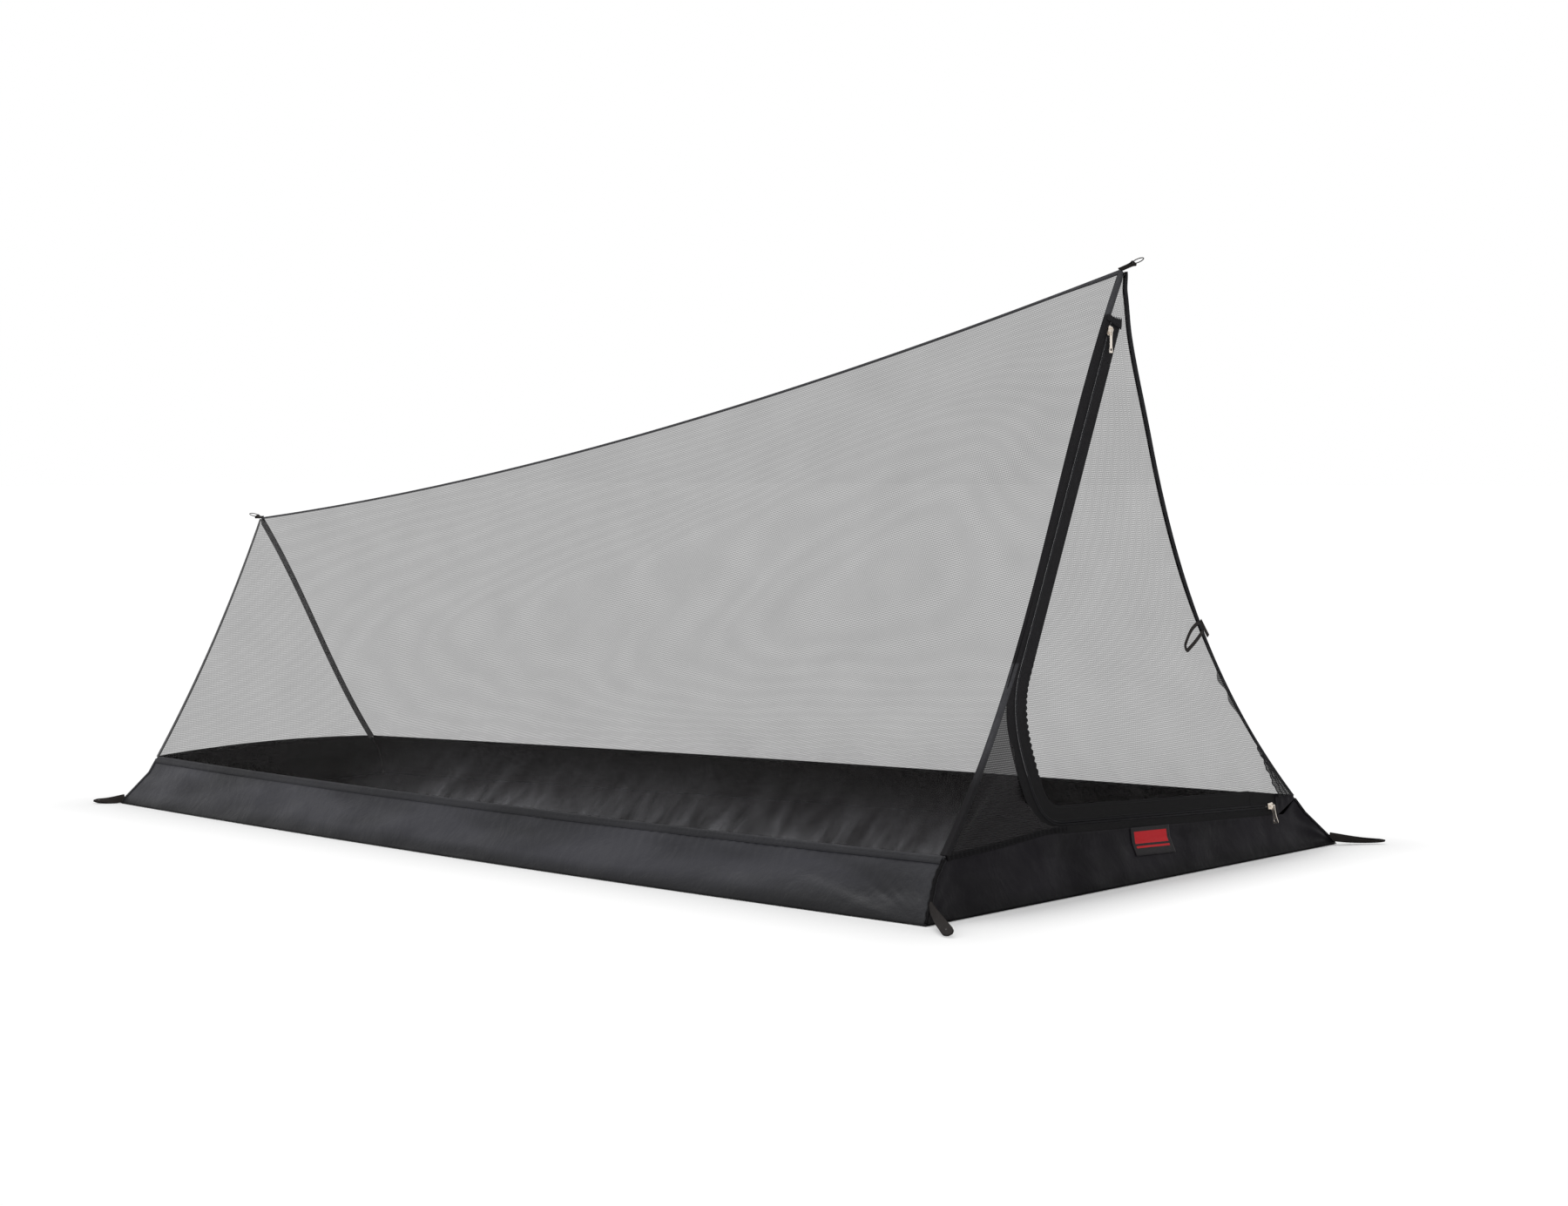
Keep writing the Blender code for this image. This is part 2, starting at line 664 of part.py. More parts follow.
def build_rear(materials):
    """Net and wall of the foot end."""
    def top_z(x):
        share = x / WALL_TOP_WIDTH[REAR] + 0.5
        return WALL_HEIGHT + REAR_WALL_TOP_RISE * bell(share, 0)

    middle = [(x, top_z(x)) for x in spread(-WALL_TOP_WIDTH[REAR] / 2, WALL_TOP_WIDTH[REAR] / 2, REAR_WALL_STEPS)[1:-1]]
    net_foot = WALL_HEIGHT + SEAM_INSET / 2
    top = PEAK_HEIGHT[REAR] - NET_PEAK_CUT
    count = SEAM_STEPS[REAR]
    net = [(x, z + SEAM_INSET / 2) for x, z in middle] + seam_edge(RIGHT, REAR, net_foot, top, count)
    net += seam_edge(LEFT, REAR, top, net_foot, count)
    panel_sheet("net_rear", net, REAR, NET_THICKNESS, materials["net"])
    wall = [(x, z - SEAM_INSET / 2) for x, z in middle]
    wall += seam_edge(RIGHT, REAR, WALL_HEIGHT - SEAM_INSET / 2, wall_foot(), 2)
    wall += seam_edge(LEFT, REAR, wall_foot(), WALL_HEIGHT - SEAM_INSET / 2, 2)
    panel_sheet("wall_rear", wall, REAR, WALL_THICKNESS, materials["wall"])

    edge = [Vector(place) for place in middle]
    stations = []
    for place in edge:
        normal = panel_normal(WALL_HEIGHT, REAR)
        up = Vector((0, normal.z, -normal.y)) * -1
        stations.append((on_panel(place, 0, REAR), up, normal, -up, normal))
    binding("wall_seam_rear", stations, lambda point: (WALL_SEAM_UPPER_LEG, WALL_SEAM_LOWER_LEG),
            WALL_THICKNESS / 2 + BINDING_PLAY, TAPE_THICKNESS, materials["tape"])


def circle_through(first, middle, last):
    """Centre, axis and angle of the arc from first to last through the middle."""
    a, b = middle - first, last - first
    across = a.cross(b)
    offset = across.cross(a) * b.length_squared + b.cross(across) * a.length_squared
    centre = first + offset / (2 * across.length_squared)
    axis = (first - centre).cross(last - centre)
    return centre, axis.normalized(), (first - centre).angle(last - centre)


class Station:
    """Place on the zip's chain, with the way to its door side and the way out."""

    def __init__(self, point, ahead, normal):
        self.point = point
        self.place = Vector((point.x, point.z))
        self.normal = (normal - ahead * normal.dot(ahead)).normalized()
        self.across = self.normal.cross(ahead).normalized()

    def at(self, reach, lift):
        """Point beside the chain and out from it."""
        return self.point + self.across * reach + self.normal * lift

    def side_place(self, reach):
        """Place (x, z) beside the chain."""
        aim = Vector((self.across.x, self.across.z)).normalized()
        return self.place + aim * reach

    def turned(self, turn, centre):
        """The same station carried round an arc."""
        moved = Station.__new__(Station)
        moved.point = centre + turn @ (self.point - centre)
        moved.place = Vector((moved.point.x, moved.point.z))
        moved.normal = turn @ self.normal
        moved.across = turn @ self.across
        return moved


class Zip:
    """Line of the zip's chain: a long arc, a turn, a corner and a straight foot."""

    def __init__(self):
        ends = [self.beside_seam(ZIP_TOP, ZIP_TOP_FROM_SEAM),
                self.beside_seam((ZIP_TOP + ZIP_ARC_FOOT) / 2, ZIP_FROM_SEAM),
                self.beside_seam(ZIP_ARC_FOOT, ZIP_FROM_SEAM)]
        self.centre, self.axis, self.angle = circle_through(*ends)
        self.start = ends[0] - self.centre
        middle = self.centre + Matrix.Rotation(self.angle / 2, 3, self.axis) @ self.start
        ahead = self.axis.cross(middle - self.centre).normalized()
        self.middle = Station(middle, ahead, panel_normal(middle.z, FRONT))
        self.door_share = self.share_of(ZIP_DOOR_TOP)
        gap_share = DOOR_GAP / (self.angle * self.start.length)
        self.top = [self.on_arc(share) for share in spread(0, self.door_share - gap_share, 2)]
        arc = [self.on_arc(share) for share in spread(self.door_share, 1, ARC_STEPS)]
        bend = self.turn_and_corner(arc)
        self.foot_start = len(arc) + len(bend)
        self.door = arc + bend + self.foot(ZIP_FOOT_X, DOOR_FOOT_X, FOOT_STEPS)
        self.end = self.foot(DOOR_FOOT_X + DOOR_GAP, ZIP_END_X, 2)

    def beside_seam(self, z, distance):
        """Point beside the left seam at a height."""
        return on_panel((distance - half_width(z, FRONT), z))

    def on_arc(self, share):
        """Station of the long arc, from its top at 0 to its foot at 1."""
        turn = Matrix.Rotation(self.angle * (share - 0.5), 3, self.axis)
        return self.middle.turned(turn, self.centre)

    def share_of(self, z):
        """Share of the long arc at a height."""
        low, high = 0.0, 1.0
        for _ in range(HALVINGS):
            share = (low + high) / 2
            if self.on_arc(share).point.z > z:
                low = share
            else:
                high = share
        return share

    def foot_line(self, x):
        """Place of the straight foot at x."""
        share = (x - ZIP_FOOT_X) / (ZIP_END_X - ZIP_FOOT_X)
        return Vector((x, ZIP_FOOT_Z + (ZIP_END_Z - ZIP_FOOT_Z) * share))

    def foot(self, start, end, count):
        """Stations of the straight foot."""
        points = [on_panel(self.foot_line(x)) for x in spread(start, end, count)]
        ahead = (points[-1] - points[0]).normalized()
        return [Station(point, ahead, panel_normal(WALL_HEIGHT, FRONT)) for point in points]

    def turn_and_corner(self, arc):
        """Stations from the foot of the arc to the start of the straight foot, without its ends."""
        start = arc[-1].place
        start_aim = (start - arc[-2].place).normalized()
        turn_end = Vector((ZIP_TURN_X, ZIP_TURN_Z))
        turn_aim = Vector((ZIP_TURN_SLANT_SHARE, -1)).normalized()
        foot_start = self.foot_line(ZIP_FOOT_X)
        foot_aim = (self.foot_line(ZIP_END_X) - foot_start).normalized()
        places = [bezier(start, start + start_aim * ZIP_TURN_PULL,
                         turn_end - turn_aim * ZIP_TURN_END_PULL, turn_end, t)
                  for t in shares(TURN_STEPS)]
        places += [bezier(turn_end, turn_end + turn_aim * ZIP_CORNER_PULL,
                          foot_start - foot_aim * ZIP_CORNER_END_PULL, foot_start, t)
                   for t in shares(CORNER_STEPS)[1:]]
        points = [on_panel(place) for place in places]
        return [Station(points[i], (points[i + 1] - points[i - 1]).normalized(),
                        panel_normal(points[i].z, FRONT)) for i in range(1, len(points) - 1)]

    def fixed_side(self, station):
        """Width of the tape on the fixed side: up to the seam, narrower round the corner."""
        room = (half_width(station.place.y, FRONT) - SEAM_INSET + station.place.x) * abs(station.across.x)
        blend = smooth((station.place.y - ZIP_FOOT_Z) / (ZIP_TURN_Z - ZIP_FOOT_Z))
        return min(room, ZIP_FOOT_SIDE + (ZIP_TURN_SIDE - ZIP_FOOT_SIDE) * blend)


def zip_half(name, stations, widths, side, material):
    """One tape of the zip with its half of the chain."""
    near, far = COIL_GAP / 2, COIL_GAP / 2 + COIL_WIDTH
    coil, tape = COIL_THICKNESS / 2, ZIP_TAPE_THICKNESS / 2
    sections = []
    for station, width in zip(stations, widths):
        edge = station.side_place(side * width)
        section = [station.at(side * reach, lift) for reach, lift in (
            (far, tape), (far, coil), (near, coil), (near, -coil), (far, -coil), (far, -tape))]
        sections.append(section + [on_panel(edge, -tape), on_panel(edge, tape)])
    return loft(name, sections, material)


def hinge_line(zipper, offset=0):
    """Top and foot of the door's fold as (x, z) places, moved to the right by an offset."""
    top = zipper.door[0].side_place(ZIP_DOOR_SIDE + DOOR_SHOULDER)
    foot = zipper.door[-1].side_place(ZIP_DOOR_SIDE + GAP * 2)
    along = (foot - top).normalized()
    right = Vector((-along.y, along.x)) * offset
    return top + right, foot + right


def hinge_axis(zipper):
    """Two points of the door's hinge in space."""
    top, foot = hinge_line(zipper)
    return on_panel(top), on_panel(foot)


def build_door(zipper, materials):
    """Door net with the zip tape round its free edge."""
    tape = zip_half("door_zip_tape", zipper.door, [ZIP_DOOR_SIDE] * len(zipper.door), 1, materials["zip"])
    edge = [station.side_place(ZIP_DOOR_SIDE + GAP) for station in zipper.door]
    top, foot = hinge_line(zipper, -GAP)
    outline = edge[:-1] + [foot, top]

    def fold(place):
        run = place.dot(Vector(DOOR_FOLD_AIM_SHARES))
        return DOOR_FOLD * math.sin(2 * math.pi * run / DOOR_FOLD_PITCH)
    net = panel_sheet("door_net", outline, FRONT, NET_THICKNESS, materials["net"], fold)
    for item in (tape, net):
        set_origin(item, hinge_axis(zipper)[0])


def build_front_net(zipper, materials):
    """Net of the front panel that stays put: round the door and up to the peak."""
    hinge_top, hinge_foot = hinge_line(zipper, DOOR_GAP)
    head = zipper.top[0]
    up = Vector((-head.across.z, head.across.x)).normalized() * GAP
    head_left = head.side_place(-zipper.fixed_side(head)) + up
    band = [station.side_place(side + GAP) for station, side in zip(
        zipper.end, spread(ZIP_DOOR_SIDE, ZIP_END_SIDE, 2))]
    top = PEAK_HEIGHT[FRONT] - NET_PEAK_CUT
    outline = [head_left, head.side_place(ZIP_DOOR_SIDE + GAP) + up]
    outline += [station.side_place(ZIP_DOOR_SIDE + GAP) for station in zipper.top[1:]]
    outline += [hinge_top, hinge_foot] + band[1:]
    outline += seam_edge(RIGHT, FRONT, patch_top(zipper) + GAP, top, SEAM_STEPS[FRONT])
    outline += seam_edge(LEFT, FRONT, top, head_left.y, 3)
    panel_sheet("front_net", outline, FRONT, NET_THICKNESS, materials["net"])


def patch_top(zipper):
    """Height at which the patch beyond the zip's end meets the right seam."""
    return (zipper.end[-1].side_place(ZIP_END_SIDE).y + WALL_HEIGHT) / 2


def build_gusset(zipper, materials):
    """Net between the lower turn of the zip, the left seam and the wall."""
    edge = []
    for station in zipper.door[:zipper.foot_start]:
        outer = station.side_place(-zipper.fixed_side(station) - GAP)
        if half_width(outer.y, FRONT) - SEAM_INSET + outer.x > SEAM_INSET:
            edge.append(outer)
    outline = edge + seam_edge(LEFT, FRONT, WALL_HEIGHT + GAP, edge[0].y, 6)
    corner = Vector((-WALL_TOP_WIDTH[FRONT] / 2, WALL_HEIGHT))

    def fold(place):
        away = place - corner
        return GUSSET_FOLD * math.sin(GUSSET_FOLD_COUNT * math.atan2(away.y, away.x))
    panel_sheet("front_gusset", outline, FRONT, NET_THICKNESS, materials["net"], fold)


def build_front_wall(zipper, materials):
    """Front wall up to the zip, and the patch between the zip's end and the right seam."""
    stations = zipper.door[zipper.foot_start - 1:] + zipper.end[1:]
    edge = [station.side_place(-zipper.fixed_side(station) - GAP) for station in stations]
    edge[0] -= Vector((0, GAP * 2))
    top = WALL_HEIGHT - GAP
    outline = edge + seam_edge(RIGHT, FRONT, top, wall_foot(), 3)
    outline += seam_edge(LEFT, FRONT, wall_foot(), top, 3)
    panel_sheet("wall_front", outline, FRONT, WALL_THICKNESS, materials["wall"])
    end = zipper.end[-1]
    along = Vector((end.across.z, -end.across.x)).normalized() * GAP
    patch = [end.side_place(-zipper.fixed_side(end)) + along, end.side_place(ZIP_END_SIDE) + along]
    patch += seam_edge(RIGHT, FRONT, patch_top(zipper), WALL_HEIGHT + GAP, 1)
    panel_sheet("zip_end_patch", patch, FRONT, WALL_THICKNESS, materials["tape"])


def build_fixed_zip(zipper, materials):
    """Tapes of the zip that stay on the tent, and the folded end above its top."""
    stations = zipper.top[:2] + zipper.door + zipper.end[1:]
    zip_half("zip_fixed_tape", stations, [zipper.fixed_side(station) for station in stations],
             -1, materials["zip"])
    zip_half("zip_top_tape", zipper.top, [ZIP_DOOR_SIDE] * len(zipper.top), 1, materials["zip"])
    zip_half("zip_end_tape", zipper.end, spread(ZIP_DOOR_SIDE, ZIP_END_SIDE, 2), 1, materials["zip"])

    head = zipper.top[0]
    low = NET_THICKNESS / 2 + BINDING_PLAY + TAPE_THICKNESS + GAP
    lifts = (low, low + ZIP_FOLD_THICKNESS)
    foot, top = ZIP_TOP - GAP, ZIP_TOP + ZIP_FOLD_HEIGHT
    left = -half_width(top, FRONT) - END_TAPE_LEG
    sections = []
    for i, x in enumerate(spread(left, head.side_place(ZIP_DOOR_SIDE).x, PINK_COUNT * 2)):
        z = top - PINK_DEPTH * (i % 2)
        sections.append([on_panel((x, foot), lifts[0]), on_panel((x, z), lifts[0]),
                         on_panel((x, z), lifts[1]), on_panel((x, foot), lifts[1])])
    loft("zip_top_fold", sections, materials["zip"])


def slider_half_height():
    """Half the height of a slider's body over both plates."""
    return COIL_THICKNESS / 2 + SLIDER_PLAY + SLIDER_PLATE


def slider_section(y, half):
    """Cross section of a slider: two lipped plates joined by a thin web in the chain's gap."""
    plate_out = slider_half_height()
    plate_in = plate_out - SLIDER_PLATE
    lip = COIL_GAP / 2 + COIL_WIDTH + SLIDER_PLAY
    slot = ZIP_TAPE_THICKNESS / 2 + SLIDER_PLAY
    web = SLIDER_WEB / 2
    quarter = ((half, plate_out), (half, slot), (lip, slot), (lip, plate_in), (web, plate_in))
    right = list(quarter) + [(x, -z) for x, z in reversed(quarter)]
    return [Vector((x, y, z)) for x, z in right + [(-x, z) for x, z in reversed(right)]]


def bail_path(inset):
    """Arch of the bail in (y, z), moved in from its outside by an inset."""
    foot = slider_half_height() - BAIL_SINK
    reach, top = BAIL_SPAN / 2 - inset, slider_half_height() + BAIL_RISE - inset
    bend = BAIL_THICKNESS * 2 - inset
    points = [(reach, foot)]
    for t in shares(3):
        angle = t * math.pi / 2
        points.append((reach - bend + bend * math.cos(angle), top - bend + bend * math.sin(angle)))
    return points + [(-y, z) for y, z in reversed(points)]


def build_slider(name, frame, material):
    """Zip slider with the bail that carries its pull; local Y points to its nose."""
    profile_shares = ((-0.50, 0.86, 0), (-0.38, 1, 0), (-0.05, 1, 0), (0.18, 1, 1), (0.36, 1, 1), (0.50, 0.75, 1))
    sections = []
    for y_share, width_share, nose in profile_shares:
        width = (SLIDER_WIDTH if nose else SLIDER_WAIST) * width_share
        sections.append(slider_section(y_share * SLIDER_LENGTH, width / 2))
    body = loft(name, sections, material)
    half = BAIL_WIDTH / 2
    arch = [(Vector((-half, a[0], a[1])), Vector((half, a[0], a[1])),
             Vector((half, b[0], b[1])), Vector((-half, b[0], b[1])))
            for a, b in zip(bail_path(0), bail_path(BAIL_THICKNESS))]
    bail = loft(name + "_bail_shape", arch, material)
    for item in (body, bail):
        item.matrix_world = frame
    bail.hide_render = True
    bail.display_type = "WIRE"
    union = body.modifiers.new("bail", "BOOLEAN")
    union.operation = "UNION"
    union.solver = "EXACT"
    union.object = bail
    return body


def build_pull(name, frame, eye_y, material):
    """Pull tab with an eye and a hole; local Y points to its head, the eye sits at eye_y."""
    head, shank, foot = PULL_HEAD / 2, PULL_SHANK / 2, PULL_FOOT / 2
    tail = head - PULL_LENGTH
    neck_share, flare_share, shoulder_share = 0.24, 0.62, 0.92
    side = [(shank, tail * neck_share), (shank, tail * flare_share), (foot, tail * shoulder_share),
            (foot * shoulder_share, tail)]
    arc = [(head * math.cos(angle), head * math.sin(angle))
           for angle in spread(-math.pi / 6, math.pi * 7 / 6, ROUND_STEPS - 2 * len(side) - 1)]
    outline = arc + [(-x, y) for x, y in side] + list(reversed(side))
    start = -math.pi / 6
    hole = [(PULL_EYE / 2 * math.cos(angle), PULL_EYE / 2 * math.sin(angle))
            for angle in spread(start, start + 2 * math.pi, ROUND_STEPS)[:-1]]

    def place(a, b, depth):
        return Vector((a, b + eye_y, depth))
    pull = plate(name, outline, hole, PULL_THICKNESS, place, material)
    build = bmesh.new()
    centre = Matrix.Translation((0, eye_y + tail + PULL_HOLE, 0))
    bmesh.ops.create_cone(build, cap_ends=True, segments=HOLE_SIDES, radius1=PULL_HOLE / 2,
                          radius2=PULL_HOLE / 2, depth=PULL_THICKNESS * 3, matrix=centre)
    cutter = add_object(name + "_hole_shape", build, material)
    for item in (pull, cutter):
        item.matrix_world = frame
    cutter.hide_render = True
    cutter.display_type = "WIRE"
    cut = pull.modifiers.new("hole", "BOOLEAN")
    cut.operation = "DIFFERENCE"
    cut.solver = "EXACT"
    cut.object = cutter
    return pull


def frame_of(origin, x_way, y_way, z_way):
    """Matrix of a frame from its origin and its three unit axes."""
    frame = Matrix((x_way, y_way, z_way)).transposed().to_4x4()
    frame.translation = origin
    return frame


def build_sliders(zipper, materials):
    """The slider and pull at each end of the zip."""
    rim = (PULL_HEAD - PULL_EYE) / 4
    station = zipper.on_arc(zipper.share_of(TOP_SLIDER_Z))
    ahead = station.across.cross(station.normal)
    frame = frame_of(station.point, station.across, -ahead, station.normal)
    slider = build_slider("top_slider", frame, materials["slider"])
    axle = bpy.data.objects.new("top_slider_arc_centre", None)
    bpy.context.scene.collection.objects.link(axle)
    axle.location = zipper.centre
    slider.parent = axle
    slider.matrix_parent_inverse = Matrix.Translation(-zipper.centre)
    pin = frame @ Vector((0, -PULL_SEAT, slider_half_height() + (BAIL_RISE - BAIL_THICKNESS) / 2))
    hang = frame_of(pin, Vector((1, 0, 0)), Vector((0, 0, 1)), Vector((0, -1, 0)))
    build_pull("top_pull", hang, -PULL_EYE / 2 - rim, materials["pull"])

    place = zipper.foot_line(FOOT_SLIDER_X)
    station = Station(on_panel(place), zipper.end[0].across.cross(zipper.end[0].normal),
                      panel_normal(WALL_HEIGHT, FRONT))
    ahead = station.across.cross(station.normal)
    frame = frame_of(station.point, -station.across, ahead, station.normal)
    build_slider("foot_slider", frame, materials["slider"])
    pin = frame @ Vector((0, 0, slider_half_height() + BAIL_RISE - BAIL_THICKNESS / 2))
    up = Matrix.Rotation(FOOT_PULL_LEAN, 3, ahead) @ Vector((0, 0, 1))
    up = (up - ahead * up.dot(ahead)).normalized()
    hang = frame_of(pin, up.cross(ahead), up, ahead)
    build_pull("foot_pull", hang, -FOOT_PULL_DROP, materials["pull"])


def tab_way(end):
    """Unit vector from a peak along its tab."""
    return Vector((0, end * TAB_REACH[end], TAB_RISE[end])).normalized()


def tab_eye(end):
    """Centre of the eye that holds the ring."""
    return peak(end) + Vector((0, end * TAB_REACH[end], TAB_RISE[end]))


def build_tab_and_ring(end, name, materials):
    """Webbing tab over a peak, and the ring in its fold."""
    root = ridge(share_at(ridge, RIDGE_END - GAP, end == FRONT))
    rest = GAP + NET_THICKNESS + TAB_THICKNESS / 2
    way, eye = tab_way(end), tab_eye(end)
    up = Vector((0, -way.z * end, way.y * end))
    ridge_way = (peak(end) - root).normalized()
    off_ridge = Vector((0, -ridge_way.z * end, ridge_way.y * end))
    radius = TAB_EYE / 2 + TAB_EYE_WALL
    half = TAB_THICKNESS / 2
    spine = [root.lerp(peak(end), share) + off_ridge * rest for share in shares(2)]
    lower = [point - off_ridge * half for point in spine]
    upper = [point + off_ridge * half for point in reversed(spine)]
    spread_angle = math.radians(150)
    arc_count = ROUND_STEPS - len(lower) - len(upper) - 1
    arc = [eye + way * (radius * math.cos(angle)) + up * (radius * math.sin(angle))
           for angle in spread(-spread_angle, spread_angle, arc_count)]
    outline = [(point.y, point.z) for point in lower + arc + upper]
    start = -math.pi + math.asin(half / radius) - spread_angle / 3
    hole = []
    for angle in spread(start, start + 2 * math.pi, ROUND_STEPS)[:-1]:
        point = eye + (way * math.cos(angle) + up * math.sin(angle)) * (TAB_EYE / 2)
        hole.append((point.y, point.z))
    plate(f"{name}_tab", outline, hole, TAB_WIDTH, lambda a, b, depth: Vector((depth, a, b)),
          materials["webbing"])

    middle = (RING_OUTSIDE - RING_WIRE) / 2
    sag = (middle - math.sqrt(middle ** 2 - (TAB_WIDTH / 2) ** 2)) / 2
    centre = eye + way * (middle - sag)
    across = Vector((1, 0, 0))
    sections = []
    for turn in spread(0, 2 * math.pi, ROUND_STEPS)[:-1]:
        out = way * math.cos(turn) + across * math.sin(turn)
        sections.append([centre + out * (middle + RING_WIRE / 2 * math.cos(angle))
                         + up * (RING_WIRE / 2 * math.sin(angle))
                         for angle in spread(0, 2 * math.pi, WIRE_SIDES)[:-1]])
    ring = loft(f"{name}_ring", sections, materials["ring"], closed=True)
    set_origin(ring, eye)


def loop_outline(base, reach, radius, inset, tip_count):
    """Half teardrop pairs of a flat loop: base half width, tip centre and tip radius."""
    tip = reach - radius
    arc = [(tip + (radius - inset) * math.cos(angle), (radius - inset) * math.sin(angle))
           for angle in spread(-math.pi / 2, math.pi / 2, tip_count)]
    low = [(inset, -base + inset), ((inset + tip) / 2, -(base + radius) / 2 + inset)]
    return low + arc + [(a, -b) for a, b in reversed(low)]


def tie_hinge():
    """Two points of the line on the right seam about which the tie back loop turns."""
    lift = NET_THICKNESS / 2 + BINDING_PLAY + TAPE_THICKNESS + GAP + TIE_THICKNESS / 2
    return [on_panel((half_width(z, FRONT) - TIE_SEAT, z), lift) for z in (TIE_TOP_Z, TIE_FOOT_Z)]


def build_tie(materials):
    """Loop that holds the rolled door back, and the end of its webbing beyond the seam."""
    top, foot = tie_hinge()
    middle = (top + foot) / 2
    tip_place = (middle.x - TIE_REACH, middle.z - TIE_DROP)
    tip = on_panel(tip_place, (middle - on_panel((middle.x, middle.z))).length + DOOR_FOLD)
    seam_way = (foot - top).normalized()
    way = (tip - middle).normalized()
    out = way.cross(seam_way).normalized()
    out = out if out.y < 0 else -out
    side = (seam_way - way * seam_way.dot(way)).normalized()
    count = ROUND_STEPS - 5
    base = (top - foot).length / 2
    reach = (tip - middle).length
    radius = TIE_STRAP + TIE_STRAND_GAP / 2
    outer = loop_outline(base, reach, radius, 0, count)
    inner = loop_outline(base, reach, radius, TIE_STRAP, count)
    loop = plate("tie_loop", outer, inner, TIE_THICKNESS,
                 lambda a, b, depth: middle + way * a + side * b + out * depth, materials["webbing"])
    set_origin(loop, middle)

    x = half_width(TIE_TOP_Z, FRONT) + TIE_SEAT + TIE_END_WIDTH / 2
    run = Vector((TIE_END_SLANT_SHARE, -1)).normalized()
    across = Vector((-run.y, run.x)) * TIE_END_WIDTH / 2
    sections = []
    for share in shares(2):
        place = Vector((x, TIE_TOP_Z)) + run * TIE_END_REACH * share
        lift = TIE_THICKNESS * (share - 0.5)
        sections.append([on_panel(place - across, lift), on_panel(place + across, lift),
                         on_panel(place + across, lift + TIE_THICKNESS),
                         on_panel(place - across, lift + TIE_THICKNESS)])
    loft("tie_end", sections, materials["webbing"])


def build_stake_loop(side, end, name, material):
    """Webbing loop at a corner, standing in the upright plane of its pull."""
    aim_share = STAKE_AIM_SHARE[end]
    aim = Vector((side * aim_share[0], aim_share[1], 0)).normalized()
    across = Vector((-aim.y, aim.x, 0))
    ground = ground_corner(side, end)
    rise = STAKE_RISE[end]
    root = corner_edge(side, end)(1 - rise / WALL_HEIGHT)
    lean = (root - ground).dot(aim) / rise
    radius, thick = STAKE_TIP_RADIUS, STAKE_THICKNESS
    seat = WALL_THICKNESS + FLOOR_THICKNESS
    arc_count = ROUND_STEPS - 6

    def outline(inset):
        tip_x = STAKE_LENGTH[end] - radius
        arc = [(tip_x + (radius - inset) * math.cos(angle), radius + (radius - inset) * math.sin(angle))
               for angle in spread(-math.pi / 2, math.pi * STAKE_TIP_TURN_SHARE, arc_count - 1)]
        low_z, high_z = inset, rise - inset * 2
        foot = (seat + lean * low_z + inset * 2, low_z)
        head = (seat + lean * high_z + inset * 2, high_z)
        lower = [foot, ((foot[0] + arc[0][0]) / 2, low_z)]
        upper = [((head[0] + arc[-1][0]) / 2, (head[1] + arc[-1][1]) / 2), head]
        mid = [((foot[0] + head[0]) / 2, (foot[1] + head[1]) / 2)]
        return lower + arc + upper + mid + [tuple((3 * a + b) / 4 for a, b in zip(foot, head))]
    plate(name, outline(0), outline(thick), STAKE_WIDTH,
          lambda a, b, depth: Vector((ground.x, ground.y, b)) + aim * a + across * depth, material)


def build_materials():
    """Materials of the fabrics, the tapes and the metal fittings."""
    return {
        "net": make_material("grey_net", (0.300, 0.275, 0.260), 0.85),
        "wall": make_material("dark_wall_fabric", (0.052, 0.052, 0.057), 0.62),
        "floor": make_material("dark_floor_fabric", (0.035, 0.036, 0.040), 0.55),
        "tape": make_material("dark_seam_tape", (0.030, 0.030, 0.034), 0.75),
        "zip": make_material("black_zip_tape", (0.022, 0.021, 0.024), 0.70),
        "slider": make_material("nickel_slider", (0.640, 0.610, 0.560), 0.30, 1.0),
        "pull": make_material("nickel_pull", (0.700, 0.670, 0.620), 0.28, 1.0),
        "webbing": make_material("dark_webbing", (0.043, 0.037, 0.036), 0.80),
        "ring": make_material("steel_ring", (0.550, 0.540, 0.530), 0.30, 1.0),
    }


def build_tent():
    """Whole tent from its floor up."""
    for item in list(bpy.data.objects):
        bpy.data.objects.remove(item, do_unlink=True)
    materials = build_materials()
    build_floor(materials["floor"])
    for side, name in ((LEFT, "left"), (RIGHT, "right")):
        build_side(side, name, materials)
    build_ridge_tape(materials["tape"])
    for end, name in ((FRONT, "front"), (REAR, "rear")):
        build_end_tapes(end, name, materials["tape"])
        build_tab_and_ring(end, name, materials)
        for side, side_name in ((LEFT, "left"), (RIGHT, "right")):
            build_stake_loop(side, end, f"stake_loop_{name}_{side_name}", materials["webbing"])
    build_rear(materials)
    zipper = Zip()
    build_front_net(zipper, materials)
    build_gusset(zipper, materials)
    build_front_wall(zipper, materials)
    build_fixed_zip(zipper, materials)
    build_door(zipper, materials)
    build_sliders(zipper, materials)
    build_tie(materials)


build_tent()
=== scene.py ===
"""Looks of the mosquito net tent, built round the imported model.

Every fabric is its own sheet or band with seams, folds and stitches, and the metal
fittings keep their solids. Metres, +Z up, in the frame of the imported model.
"""
import math

import bmesh
import bpy
import numpy as np
from mathutils import Matrix, Vector


